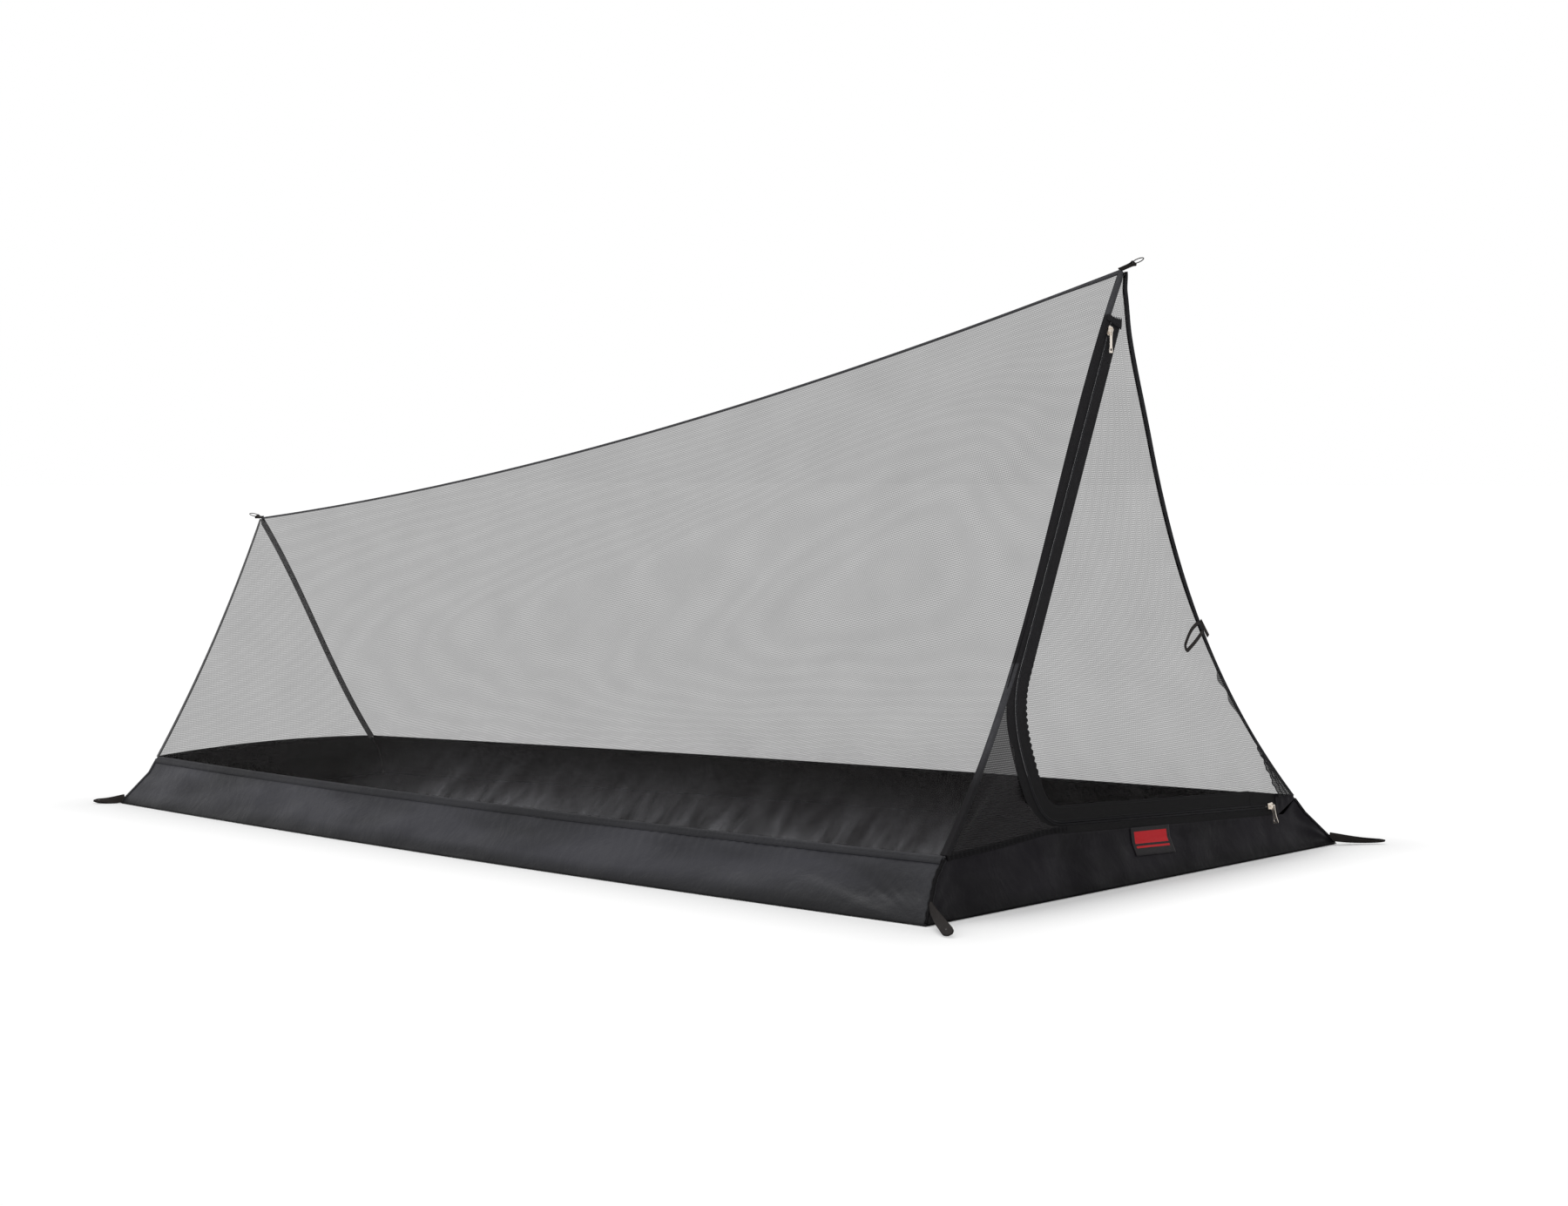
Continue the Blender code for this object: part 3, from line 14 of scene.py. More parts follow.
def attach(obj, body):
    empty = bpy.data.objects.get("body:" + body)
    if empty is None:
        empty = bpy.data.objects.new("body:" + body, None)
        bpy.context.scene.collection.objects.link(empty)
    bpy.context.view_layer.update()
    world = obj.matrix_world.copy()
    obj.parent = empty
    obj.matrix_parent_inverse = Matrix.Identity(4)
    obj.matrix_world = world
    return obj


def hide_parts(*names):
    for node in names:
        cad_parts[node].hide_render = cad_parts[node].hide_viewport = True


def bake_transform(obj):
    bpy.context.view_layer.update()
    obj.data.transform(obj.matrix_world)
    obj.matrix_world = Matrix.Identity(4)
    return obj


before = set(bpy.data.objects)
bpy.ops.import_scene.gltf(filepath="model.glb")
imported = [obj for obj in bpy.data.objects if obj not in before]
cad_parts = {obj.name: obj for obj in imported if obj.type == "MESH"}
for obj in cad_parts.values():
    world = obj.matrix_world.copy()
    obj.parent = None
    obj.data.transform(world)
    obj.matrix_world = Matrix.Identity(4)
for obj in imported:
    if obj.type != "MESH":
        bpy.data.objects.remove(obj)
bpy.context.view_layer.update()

# Ends and sides
FRONT, REAR = -1, 1
LEFT, RIGHT = -1, 1

# Sizes shared with the solids
LENGTH = 2.200
GROUND_WIDTH = {FRONT: 1.210, REAR: 0.709}
WALL_TOP_WIDTH = {FRONT: 1.029, REAR: 0.578}
WALL_SETBACK = {FRONT: 0.0337, REAR: 0.0352}
SIDE_BOW = 0.028
WALL_HEIGHT = 0.087
WALL_TOP_BOW = 0.045
REAR_WALL_TOP_RISE = 0.009
PEAK_HEIGHT = {FRONT: 0.987, REAR: 0.562}
PEAK_SETBACK = {FRONT: 0.0589, REAR: 0.0203}
RIDGE_SAG, RIDGE_SKEW = 0.0475, -0.056
SEAM_SAG = {FRONT: 0.0694, REAR: 0.0081}
SEAM_SKEW = {FRONT: 0.632, REAR: 1.0}
SEAM_BACK = {FRONT: 0.0310, REAR: -0.0081}
SEAM_BACK_SKEW = {FRONT: 0.059, REAR: -1.0}
BAND_TOP, BAND_FOOT = 0.126, 0.060
ZIP_FROM_SEAM, ZIP_TOP_FROM_SEAM = 0.0172, 0.0152
ZIP_TOP, ZIP_DOOR_TOP, ZIP_ARC_FOOT = 0.9005, 0.8440, 0.3550
ZIP_TURN = (-0.2700, 0.1700)
ZIP_TURN_PULLS, ZIP_TURN_SLANT = (0.0750, 0.0600), 0.34
ZIP_FOOT = (-0.1950, 0.1095)
ZIP_CORNER_PULLS = (0.0420, 0.0420)
ZIP_END = (0.4475, 0.0792)
DOOR_FOOT_X = 0.3650
DOOR_SIDE, TURN_SIDE, FOOT_SIDE, END_SIDE = 0.0280, 0.0240, 0.0160, 0.0210
TAB_REACH = {FRONT: 0.0215, REAR: 0.0130}
TAB_RISE = {FRONT: 0.0105, REAR: 0.0045}
STAKE_LENGTH = {FRONT: 0.0870, REAR: 0.0530}
STAKE_RISE = {FRONT: 0.0270, REAR: 0.0190}
STAKE_AIM = {FRONT: (0.650, -0.760), REAR: (0.690, 0.724)}
TIE_TOP_Z, TIE_FOOT_Z, TIE_REACH, TIE_DROP = 0.409, 0.387, 0.060, 0.034

# Looks
NET_PITCH = 0.0034
NET_DRIFT = 0.0004
WARP_CONTRAST, WEFT_CONTRAST = 0.45, 0.85
ZIP_COLOUR = (0.0115, 0.0108, 0.0122)
ZIP_HEAD_ROOM = 0.0160
STEP = 0.0005
INNER_POINT = np.array((0, 0, 0.30))
TAB_ROLL = 32.0
SMOOTH_ANGLE = 40.0

# Thicknesses, gaps and threads
CLOTH_THICK, ZIP_THICK = 0.0006, 0.0008
CHAIN_GAP, NET_INSET = 0.0004, 0.0004
THREAD_WIDE, THREAD_HIGH = 0.0005, 0.0004
FELL_PITCH, FELL_THREAD = 0.0036, 0.0026

ENDS = ((FRONT, "front"), (REAR, "rear"))
SIDES = ((LEFT, "left"), (RIGHT, "right"))


# Curves and surfaces of the tent, on arrays

def smooth(t):
    """Soft step from 0 to 1."""
    t = np.clip(t, 0, 1)
    return t * t * (3 - 2 * t)


def rim(t):
    """Distance of a share to the nearer of 0 and 1."""
    return np.minimum(t, 1 - t)


def hump(t, start, top, end):
    """Soft hump, 1 at its top."""
    return smooth((t - start) / (top - start)) * smooth((end - t) / (end - top))


def bell(t, skew):
    """Hanging curve of height 1, leaning by its skew."""
    return 4 * t * (1 - t) * (1 + skew * (2 * t - 1))


def hanging(start, end, sag, skew=(0, 0, 0)):
    """Curve between two points that leaves the straight line by sag."""
    start, end, sag, skew = (np.array(v, float) for v in (start, end, sag, skew))

    def point(t):
        t = np.asarray(t, float)[..., None]
        return start + (end - start) * t + sag * bell(t, skew)
    return point


def unit(v):
    """Vectors at length 1."""
    return v / np.linalg.norm(v, axis=-1, keepdims=True)


def peak(end):
    """Top corner of an end panel."""
    return np.array((0, end * (LENGTH / 2 - PEAK_SETBACK[end]), PEAK_HEIGHT[end]))


def wall_corner(side, end):
    """Top of the wall at a corner."""
    return np.array((side * WALL_TOP_WIDTH[end] / 2, end * (LENGTH / 2 - WALL_SETBACK[end]), WALL_HEIGHT))


def ground_corner(side, end):
    """Corner of the floor."""
    return np.array((side * GROUND_WIDTH[end] / 2, end * LENGTH / 2, 0))


ridge = hanging(peak(REAR), peak(FRONT), (0, 0, -RIDGE_SAG), (0, 0, RIDGE_SKEW))


def end_seam(side, end):
    """Seam from a peak to the top of the wall."""
    return hanging(peak(end), wall_corner(side, end), (-side * SEAM_SAG[end], SEAM_BACK[end], 0),
                   (SEAM_SKEW[end], SEAM_BACK_SKEW[end], 0))


def wall_top(side):
    """Seam between net and wall, rear to front."""
    return hanging(wall_corner(side, REAR), wall_corner(side, FRONT), (side * WALL_TOP_BOW, 0, 0))


def ground_edge(side):
    """Long edge of the floor, rear to front."""
    return hanging(ground_corner(side, REAR), ground_corner(side, FRONT), (side * SIDE_BOW, 0, 0))


def seam_share(z, end):
    """How far down an end seam a height lies."""
    return (PEAK_HEIGHT[end] - np.asarray(z, float)) / (PEAK_HEIGHT[end] - WALL_HEIGHT)


def panel_y(z, end=FRONT):
    """Place of an end panel at a height."""
    z = np.asarray(z, float)
    seam = end_seam(RIGHT, end)
    top = seam(seam_share(BAND_TOP, end))[..., 1]
    slope = (top - wall_corner(RIGHT, end)[1]) / (BAND_TOP - WALL_HEIGHT)
    foot = top - slope * (BAND_TOP - BAND_FOOT)
    ground = end * LENGTH / 2
    low = np.where(z >= BAND_FOOT, top - slope * (BAND_TOP - z), ground + (foot - ground) * z / BAND_FOOT)
    return np.where(z >= BAND_TOP, seam(seam_share(z, end))[..., 1], low)


def half_width(z, end=FRONT):
    """Half the width of an end panel at a height."""
    z = np.asarray(z, float)
    low = (GROUND_WIDTH[end] + (WALL_TOP_WIDTH[end] - GROUND_WIDTH[end]) * z / WALL_HEIGHT) / 2
    return np.where(z >= WALL_HEIGHT, end_seam(RIGHT, end)(seam_share(z, end))[..., 0], low)


def top_lean(z):
    """Sideways bend of the front panel's right seam near the peak."""
    t = seam_share(z, FRONT)
    return 0.0095 * (1 - smooth(t / 0.040)) - 0.0075 * hump(t, 0.03, 0.12, 0.30)


def panel_normal(z, end=FRONT):
    """Unit normal of an end panel, away from the tent."""
    z = np.asarray(z, float)
    slope = (panel_y(z + STEP, end) - panel_y(z - STEP, end)) / (2 * STEP)
    return unit(np.stack([np.zeros_like(z), np.full_like(z, end), -end * slope], -1))


def on_panel(x, z, lift=0, end=FRONT):
    """Points of an end panel at (x, z), lifted off it."""
    x, z = np.broadcast_arrays(np.asarray(x, float), np.asarray(z, float))
    lift = np.broadcast_to(lift, x.shape)[..., None]
    return np.stack([x, panel_y(z, end), z], -1) + panel_normal(z, end) * lift


def corner_edge(side, end):
    """Corner between an end wall and a side wall, top to ground."""
    def point(v):
        z = WALL_HEIGHT * (1 - np.asarray(v, float))
        return np.stack([side * half_width(z, end), panel_y(z, end), z], -1)
    return point


def coons(top, bottom, left, right):
    """Patch between four curves; u runs left to right and v top to bottom."""
    def point(u, v):
        u, v = np.broadcast_arrays(np.asarray(u, float), np.asarray(v, float))
        a, b = u[..., None], v[..., None]
        corners = (top(0 * u) * (1 - a) + top(0 * u + 1) * a) * (1 - b) \
            + (bottom(0 * u) * (1 - a) + bottom(0 * u + 1) * a) * b
        return left(v) * (1 - a) + right(v) * a + top(u) * (1 - b) + bottom(u) * b - corners
    return point


def side_net(side):
    """Net between the ridge and a side wall; u runs rear to front."""
    return coons(ridge, wall_top(side), end_seam(side, REAR), end_seam(side, FRONT))


def side_wall(side):
    """Wall of a long side; u runs rear to front, v top to ground."""
    return coons(wall_top(side), ground_edge(side), corner_edge(side, REAR), corner_edge(side, FRONT))


def side_normal(surface, u, v, side):
    """Unit normals of a side surface, away from the tent."""
    u, v = np.broadcast_arrays(np.asarray(u, float), np.asarray(v, float))
    d = 0.001
    u0, u1 = np.clip(u - d, 0, 1), np.clip(u + d, 0, 1)
    v0, v1 = np.clip(v - d, 0, 1), np.clip(v + d, 0, 1)
    normal = unit(np.cross(surface(u1, v) - surface(u0, v), surface(u, v1) - surface(u, v0)))
    return normal * np.where(normal[..., :1] * side > 0, 1, -1)


def ripple(points, size, seed):
    """Soft uneven relief in space, from a few crossed waves."""
    rng = np.random.default_rng(seed)
    total = np.zeros(points.shape[:-1])
    for _ in range(9):
        way = unit(rng.normal(size=3)) * 2 * math.pi / size * rng.uniform(0.6, 1.7)
        total += np.sin(points @ way + rng.uniform(0, 2 * math.pi))
    return total / 4


def shares(rows, columns, low=0):
    """Shares down a grid as a column, and along it as a row that may start below 0."""
    return np.linspace(0, 1, rows)[:, None], np.linspace(low, 1, columns)[None, :]


def read_off(x, at, rows):
    """Rows of values, read off at places between those given."""
    return np.stack([np.interp(x, at, rows[:, k]) for k in range(rows.shape[1])], -1)


def path_length(points):
    """Running length along rows of points."""
    steps = np.linalg.norm(np.diff(points, axis=0), axis=-1)
    return np.concatenate([np.zeros((1,) + steps.shape[1:]), np.cumsum(steps, axis=0)])


# Meshes

def mesh_object(name, points, faces, uvs, material):
    """Mesh with its UV map in metres."""
    mesh = bpy.data.meshes.new(name)
    mesh.from_pydata([tuple(p) for p in points.reshape(-1, 3)], [], faces)
    layer = mesh.uv_layers.new(name="metres")
    flat = uvs.reshape(-1, 2)
    index = np.zeros(len(mesh.loops), np.int32)
    mesh.loops.foreach_get("vertex_index", index)
    layer.data.foreach_set("uv", flat[index].astype(np.float32).ravel())
    mesh.shade_smooth()
    mesh.set_sharp_from_angle(angle=math.radians(SMOOTH_ANGLE))
    mesh.materials.append(material)
    item = bpy.data.objects.new(name, mesh)
    bpy.context.scene.collection.objects.link(item)
    return item


def grid_faces(rows, columns):
    """Quads of a grid."""
    return [(r * columns + c, (r + 1) * columns + c, (r + 1) * columns + c + 1, r * columns + c + 1)
            for r in range(rows - 1) for c in range(columns - 1)]


def grid_sheet(name, points, uvs, material, thickness=0.0):
    """Sheet over a grid of points."""
    faces = grid_faces(*points.shape[:2])
    rows = np.cross(points[1:, :-1] - points[:-1, :-1], points[:-1, 1:] - points[:-1, :-1])
    if np.sum(rows * (points[:-1, :-1] - INNER_POINT)) < 0:
        faces = [tuple(reversed(face)) for face in faces]
    item = mesh_object(name, points, faces, uvs, material)
    if thickness:
        # Back faces take the inner cloth, painted darker as shade.
        item.data.materials.append(MATERIALS["inside"])
        solid = item.modifiers.new("thickness", "SOLIDIFY")
        solid.thickness = thickness
        solid.offset = 0
        solid.use_rim = True
        solid.material_offset = 1
        apply_modifiers(item)
        item["thick"] = 1
    return item


def apply_modifiers(item):
    """The object's mesh with its modifiers made real."""
    bpy.context.view_layer.update()
    shown = item.evaluated_get(bpy.context.evaluated_depsgraph_get())
    mesh = bpy.data.meshes.new_from_object(shown)
    item.modifiers.clear()
    item.data = mesh


def loft(name, sections, material):
    """Capped tube through sections of equal count."""
    sections = np.array(sections, float)
    rows, count = sections.shape[:2]
    ring = np.concatenate([sections, sections[:, :1]], axis=1)
    along = path_length(sections.mean(axis=1))[:, None] + np.zeros((rows, count))
    around = path_length(ring.transpose(1, 0, 2)).T[:, :count]
    faces = []
    for base in range(0, (rows - 1) * count, count):
        faces += [(base + i, base + (i + 1) % count, base + count + (i + 1) % count, base + count + i)
                  for i in range(count)]
    faces += [tuple(reversed(range(count))), tuple(range((rows - 1) * count, rows * count))]
    item = mesh_object(name, sections, faces, np.stack([along, around], -1), material)
    fix_normals(item)
    return item


def fix_normals(item):
    """Faces facing out."""
    build = bmesh.new()
    build.from_mesh(item.data)
    bmesh.ops.recalc_face_normals(build, faces=build.faces)
    build.to_mesh(item.data)
    build.free()


def ribbon(name, middle, across, out, left, right, thickness, lift, material, crown=0.0):
    """Flat band along a line, from -left to right across it, with softened edges."""
    left, right, thickness, lift = (np.broadcast_to(np.asarray(v, float), len(middle))[:, None]
                                    for v in (left, right, thickness, lift))
    parts = np.array([0, 0.04, 0.12, 0.3, 0.5, 0.7, 0.88, 0.96, 1.0])
    rise = np.array([0.25, 0.7, 0.95, 1, 1, 1, 0.95, 0.7, 0.25])
    reach = -left + (left + right) * parts
    dome = crown * np.sin(np.pi * parts)
    upper, lower = (middle[:, None] + across[:, None] * reach[..., None]
                    + out[:, None] * (lift + thickness * (0.5 + sign * rise / 2) + dome)[..., None]
                    for sign in (1, -1))
    return loft(name, np.concatenate([upper, lower[:, ::-1]], axis=1), material)


def stitches(name, middle, along, across, out, pitch, size, material):
    """Row of short thread stitches along a line."""
    length = path_length(middle)
    places = np.arange(pitch * 0.5, length[-1], pitch)
    pick = [read_off(places, length, v) for v in (middle, along, across, out)]
    long, wide, high = size
    shape = [(-0.5, 0, 0), (-0.3, -0.5, 0.2), (-0.3, 0.5, 0.2), (-0.25, 0, 1), (0.3, -0.5, 0.2),
             (0.3, 0.5, 0.2), (0.25, 0, 1), (0.5, 0, 0)]
    faces = [(0, 1, 3), (0, 3, 2), (1, 4, 6, 3), (3, 6, 5, 2), (4, 7, 6), (6, 7, 5), (0, 2, 1),
             (1, 2, 5, 4), (4, 5, 7)]
    points, all_faces = [], []
    for p, t, a, n in zip(*pick):
        base = len(points)
        points += [p + t * x * long + a * y * wide + n * z * high for x, y, z in shape]
        all_faces += [tuple(base + i for i in face) for face in faces]
    points = np.array(points)
    return mesh_object(name, points, all_faces, points[:, :2], material)


# Materials

class Nodes:
    """Node tree of one material, built by short calls."""

    def __init__(self, name, colour, roughness, metallic=0.0):
        self.material = bpy.data.materials.new(name)
        self.material.use_nodes = True
        self.material.diffuse_color = (*colour, 1)
        self.tree = self.material.node_tree
        self.shader = self.tree.nodes["Principled BSDF"]
        self.set("Base Color", (*colour, 1))
        self.set("Roughness", roughness)
        self.set("Metallic", metallic)

    def put(self, socket, value):
        """Set an input, or link an output to it."""
        if isinstance(value, bpy.types.NodeSocket):
            self.tree.links.new(value, socket)
        else:
            socket.default_value = value

    def set(self, name, value):
        """Set or link an input of the shader."""
        self.put(self.shader.inputs[name], value)

    def add(self, kind, inputs=(), operation=None):
        """New node, its inputs set or linked by place or by name."""
        node = self.tree.nodes.new("ShaderNode" + kind)
        if operation:
            node.operation = operation
        for key, value in inputs.items() if isinstance(inputs, dict) else enumerate(inputs):
            self.put(node.inputs[key], value)
        return node

    def math(self, operation, *values):
        """Result of a math node."""
        return self.add("Math", values, operation).outputs[0]

    def coords(self, kind="UV"):
        """Coordinates, from the UV map in metres or the object."""
        return self.add("TexCoord").outputs[kind]

    def split(self, vector):
        """Parts of a vector."""
        return self.add("SeparateXYZ", (vector,)).outputs

    def height(self):
        """Height in the object's coordinates."""
        return self.split(self.coords("Object"))[2]

    def stretch(self, vector, factors):
        """Vector with its parts scaled."""
        return self.add("VectorMath", (vector, factors), "MULTIPLY").outputs[0]

    def noise(self, vector, scale, detail=3.0, roughness=0.55, distortion=0.0):
        """Noise value."""
        return self.add("TexNoise", {"Vector": vector, "Scale": scale, "Detail": detail,
                                     "Roughness": roughness, "Distortion": distortion}).outputs[0]

    def ramp(self, value, low, high, out_low=0.0, out_high=1.0):
        """Linear map of a value."""
        return self.add("MapRange", (value, low, high, out_low, out_high)).outputs[0]

    def mix(self, factor, first, second):
        """Mix of two colours."""
        node = self.add("Mix")
        node.data_type = "RGBA"
        for key, value in ((0, factor), (6, first), (7, second)):
            self.put(node.inputs[key], (*value, 1) if isinstance(value, tuple) else value)
        return node.outputs[2]

    def wave(self, value, pitch):
        """Sine of a length, from 0 to 1."""
        turn = self.math("MULTIPLY", value, 2 * math.pi / pitch)
        return self.math("MULTIPLY_ADD", self.math("SINE", turn), 0.5, 0.5)

    def bump(self, height, distance, strength=1.0, below=None):
        """Bump normal."""
        inputs = {"Strength": strength, "Distance": distance, "Height": height}
        if below is not None:
            inputs["Normal"] = below
        return self.add("Bump", inputs).outputs[0]

    def soften(self, specular, sheen):
        """Matt look of cloth: little mirror light and a soft sheen."""
        self.set("Specular IOR Level", specular)
        self.set("Sheen Weight", sheen)
        self.set("Sheen Roughness", 0.5)


def shade(colour, factor):
    """Colour times a factor."""
    return tuple(min(c * factor, 1) for c in colour)


def net_material(name, colour, cover, film=0.0, gather=0.0):
    """Fine net: soft threads both ways, see-through between them, denser where it is gathered low down, where
    its threads are painted paler towards the front as painted light.
    """
    m = Nodes(name, colour, 0.75)
    uv = m.coords()
    x, y, _ = m.split(uv)
    x = m.math("MULTIPLY_ADD", m.noise(uv, 4.0, 1.0), NET_DRIFT, x)
    y = m.math("MULTIPLY_ADD", m.noise(uv, 3.0, 1.0), NET_DRIFT, y)
    open_share = 1.0
    for value, contrast in ((x, WARP_CONTRAST), (y, WEFT_CONTRAST)):
        thread = m.math("MULTIPLY_ADD", m.wave(value, NET_PITCH), 2 * contrast, 1 - contrast)
        gap = m.math("MULTIPLY_ADD", thread, -cover, 1.0)
        open_share = m.math("MULTIPLY", gap, open_share)
    uneven = m.ramp(m.noise(uv, 9.0, 4.0), 0.3, 0.7, 0.97, 1.02)
    open_share = m.math("MULTIPLY", open_share, m.math("MULTIPLY", uneven, 1.0 - film))
    tone = m.mix(m.ramp(m.noise(uv, 260.0), 0.3, 0.7), shade(colour, 0.75), shade(colour, 1.3))
    if gather:
        near = m.math("POWER", m.ramp(m.height(), WALL_HEIGHT + 0.115, WALL_HEIGHT), 1.6)
        streak = m.ramp(m.noise(m.stretch(uv, (1.0, 0.35, 1.0)), 30.0, 3.0), 0.35, 0.65, 0.40, 1.0)
        near = m.math("MULTIPLY", near, streak)
        near = m.math("MULTIPLY", near, m.ramp(m.split(m.coords("Object"))[1], 0.42, 0.10))
        open_share = m.math("MULTIPLY", open_share, m.math("MULTIPLY_ADD", near, -gather, 1.0))
        # Painted highlight: low down towards the front the threads are painted paler, standing in for light
        # caught by the gathered net.
        tone = m.mix(m.math("MULTIPLY", near, 0.8), tone, (0.140, 0.140, 0.150))
    m.set("Alpha", m.math("SUBTRACT", 1.0, open_share))
    m.set("Base Color", tone)
    m.soften(0.1, 0.02)
    return m.material


def fabric_material(name, colour, roughness, wrinkle, specular, sheen, painted_sheen_gain=1.0):
    """Woven fabric: a fine weave, soft wrinkles, broad paler areas of painted sheen, painted shade along the
    foot and a light sheen.
    """
    weave, relief = 0.0011, 0.00006
    m = Nodes(name, colour, roughness)
    uv = m.coords()
    x, y, _ = m.split(uv)
    cloth = m.math("MAXIMUM", m.math("MULTIPLY", m.wave(x, weave), 0.9), m.wave(y, weave))
    fine = m.noise(uv, 900.0, 2.0)
    height = m.math("ADD", cloth, m.math("MULTIPLY", fine, 0.5))
    normal = m.bump(height, relief)
    folds = m.noise(uv, 14.0, 4.0, 0.6, 0.6)
    small = m.noise(uv, 55.0, 3.0, 0.5, 0.3)
    m.set("Normal", m.bump(m.math("MULTIPLY_ADD", small, 0.25, folds), wrinkle, 1.0, normal))
    tone = m.math("ADD", m.math("MULTIPLY", m.noise(uv, 9.0, 4.0), 0.7), m.math("MULTIPLY", fine, 0.3))
    place_at = m.coords("Object")
    # Painted shade: over the lowest 24 mm the colour darkens to a quarter, standing in for the shadow where
    # the cloth meets the ground.
    foot = m.ramp(m.split(place_at)[2], 0.0, 0.024)
    # Painted sheen: broad soft paler areas, stretched along the walls, raise the colour by the painted sheen
    # gain.
    patch = m.ramp(m.noise(m.stretch(place_at, (1.6, 0.6, 2.8)), 5.0, 2.0, 0.45), 0.34, 0.62)
    tone = m.mix(m.ramp(tone, 0.3, 0.7), shade(colour, 0.82), shade(colour, 1.2))
    tone = m.mix(m.math("MULTIPLY", patch, 0.7), tone, shade(colour, painted_sheen_gain))
    m.set("Base Color", m.mix(foot, shade(colour, 0.25), tone))
    m.set("Roughness", m.ramp(m.noise(uv, 30.0), 0.3, 0.7, roughness - 0.06, roughness + 0.06))
    m.soften(specular, sheen)
    return m.material


def webbing_material(name, colour, roughness, rib, weave, dark_zones=(), foot_shade=1.0):
    """Webbing: ribs along its length crossed by the weft, as dark as the zip in the height zones given, and
    painted shade low down when foot_shade is below 1.
    """
    m = Nodes(name, colour, roughness)
    uv = m.coords()
    x, y, _ = m.split(uv)
    relief = m.math("ADD", m.wave(x, weave), m.math("MULTIPLY", m.wave(y, rib), 0.8))
    relief = m.math("ADD", relief, m.math("MULTIPLY", m.noise(uv, 1500.0, 2.0), 0.6))
    m.set("Normal", m.bump(relief, 0.00012))
    uneven = m.math("MULTIPLY", m.noise(uv, 60.0, 3.0), 0.6)
    tone = m.math("ADD", uneven, m.math("MULTIPLY", m.wave(x, weave), 0.4))
    tone = m.mix(m.ramp(tone, 0.25, 0.75), shade(colour, 0.7), shade(colour, 1.35))
    # Painted shade: below about 0.3 m the colour darkens, to foot_shade times itself at 0.12 m and below.
    if foot_shade < 1:
        tone = m.mix(m.ramp(m.height(), 0.12, 0.32), shade(colour, foot_shade), tone)
    for low, high in dark_zones:
        height = m.height()
        soft = 0.030 if low < 0 else 0.002
        below_top = m.ramp(height, high + soft, high - soft)
        inside = m.math("MULTIPLY", below_top, m.ramp(height, low - soft, low + soft))
        tone = m.mix(inside, tone, ZIP_COLOUR)
    m.set("Base Color", tone)
    m.soften(0.08, 0.015)
    return m.material


def metal_material(name, colour, roughness, worn):
    """Plated metal with fine scratches and a duller tone where it is handled."""
    m = Nodes(name, colour, roughness, 1.0)
    place = m.coords("Object")
    grain = m.noise(place, 420.0, 4.0, 0.6)
    patch = m.noise(place, 90.0, 3.0)
    m.set("Base Color", m.mix(m.ramp(patch, 0.35, 0.65), colour, worn))
    m.set("Roughness", m.ramp(grain, 0.3, 0.7, roughness - 0.07, roughness + 0.12))
    m.set("Normal", m.bump(grain, 0.00002, 0.6))
    return m.material


def thread_material(name, colour):
    """Sewing thread."""
    m = Nodes(name, colour, 0.6)
    place = m.coords("Object")
    tone = m.ramp(m.noise(place, 300.0), 0.3, 0.7)
    m.set("Base Color", m.mix(tone, shade(colour, 0.7), shade(colour, 1.25)))
    m.set("Normal", m.bump(m.noise(place, 2500.0, 2.0), 0.00005))
    m.soften(0.2, 0.05)
    return m.material


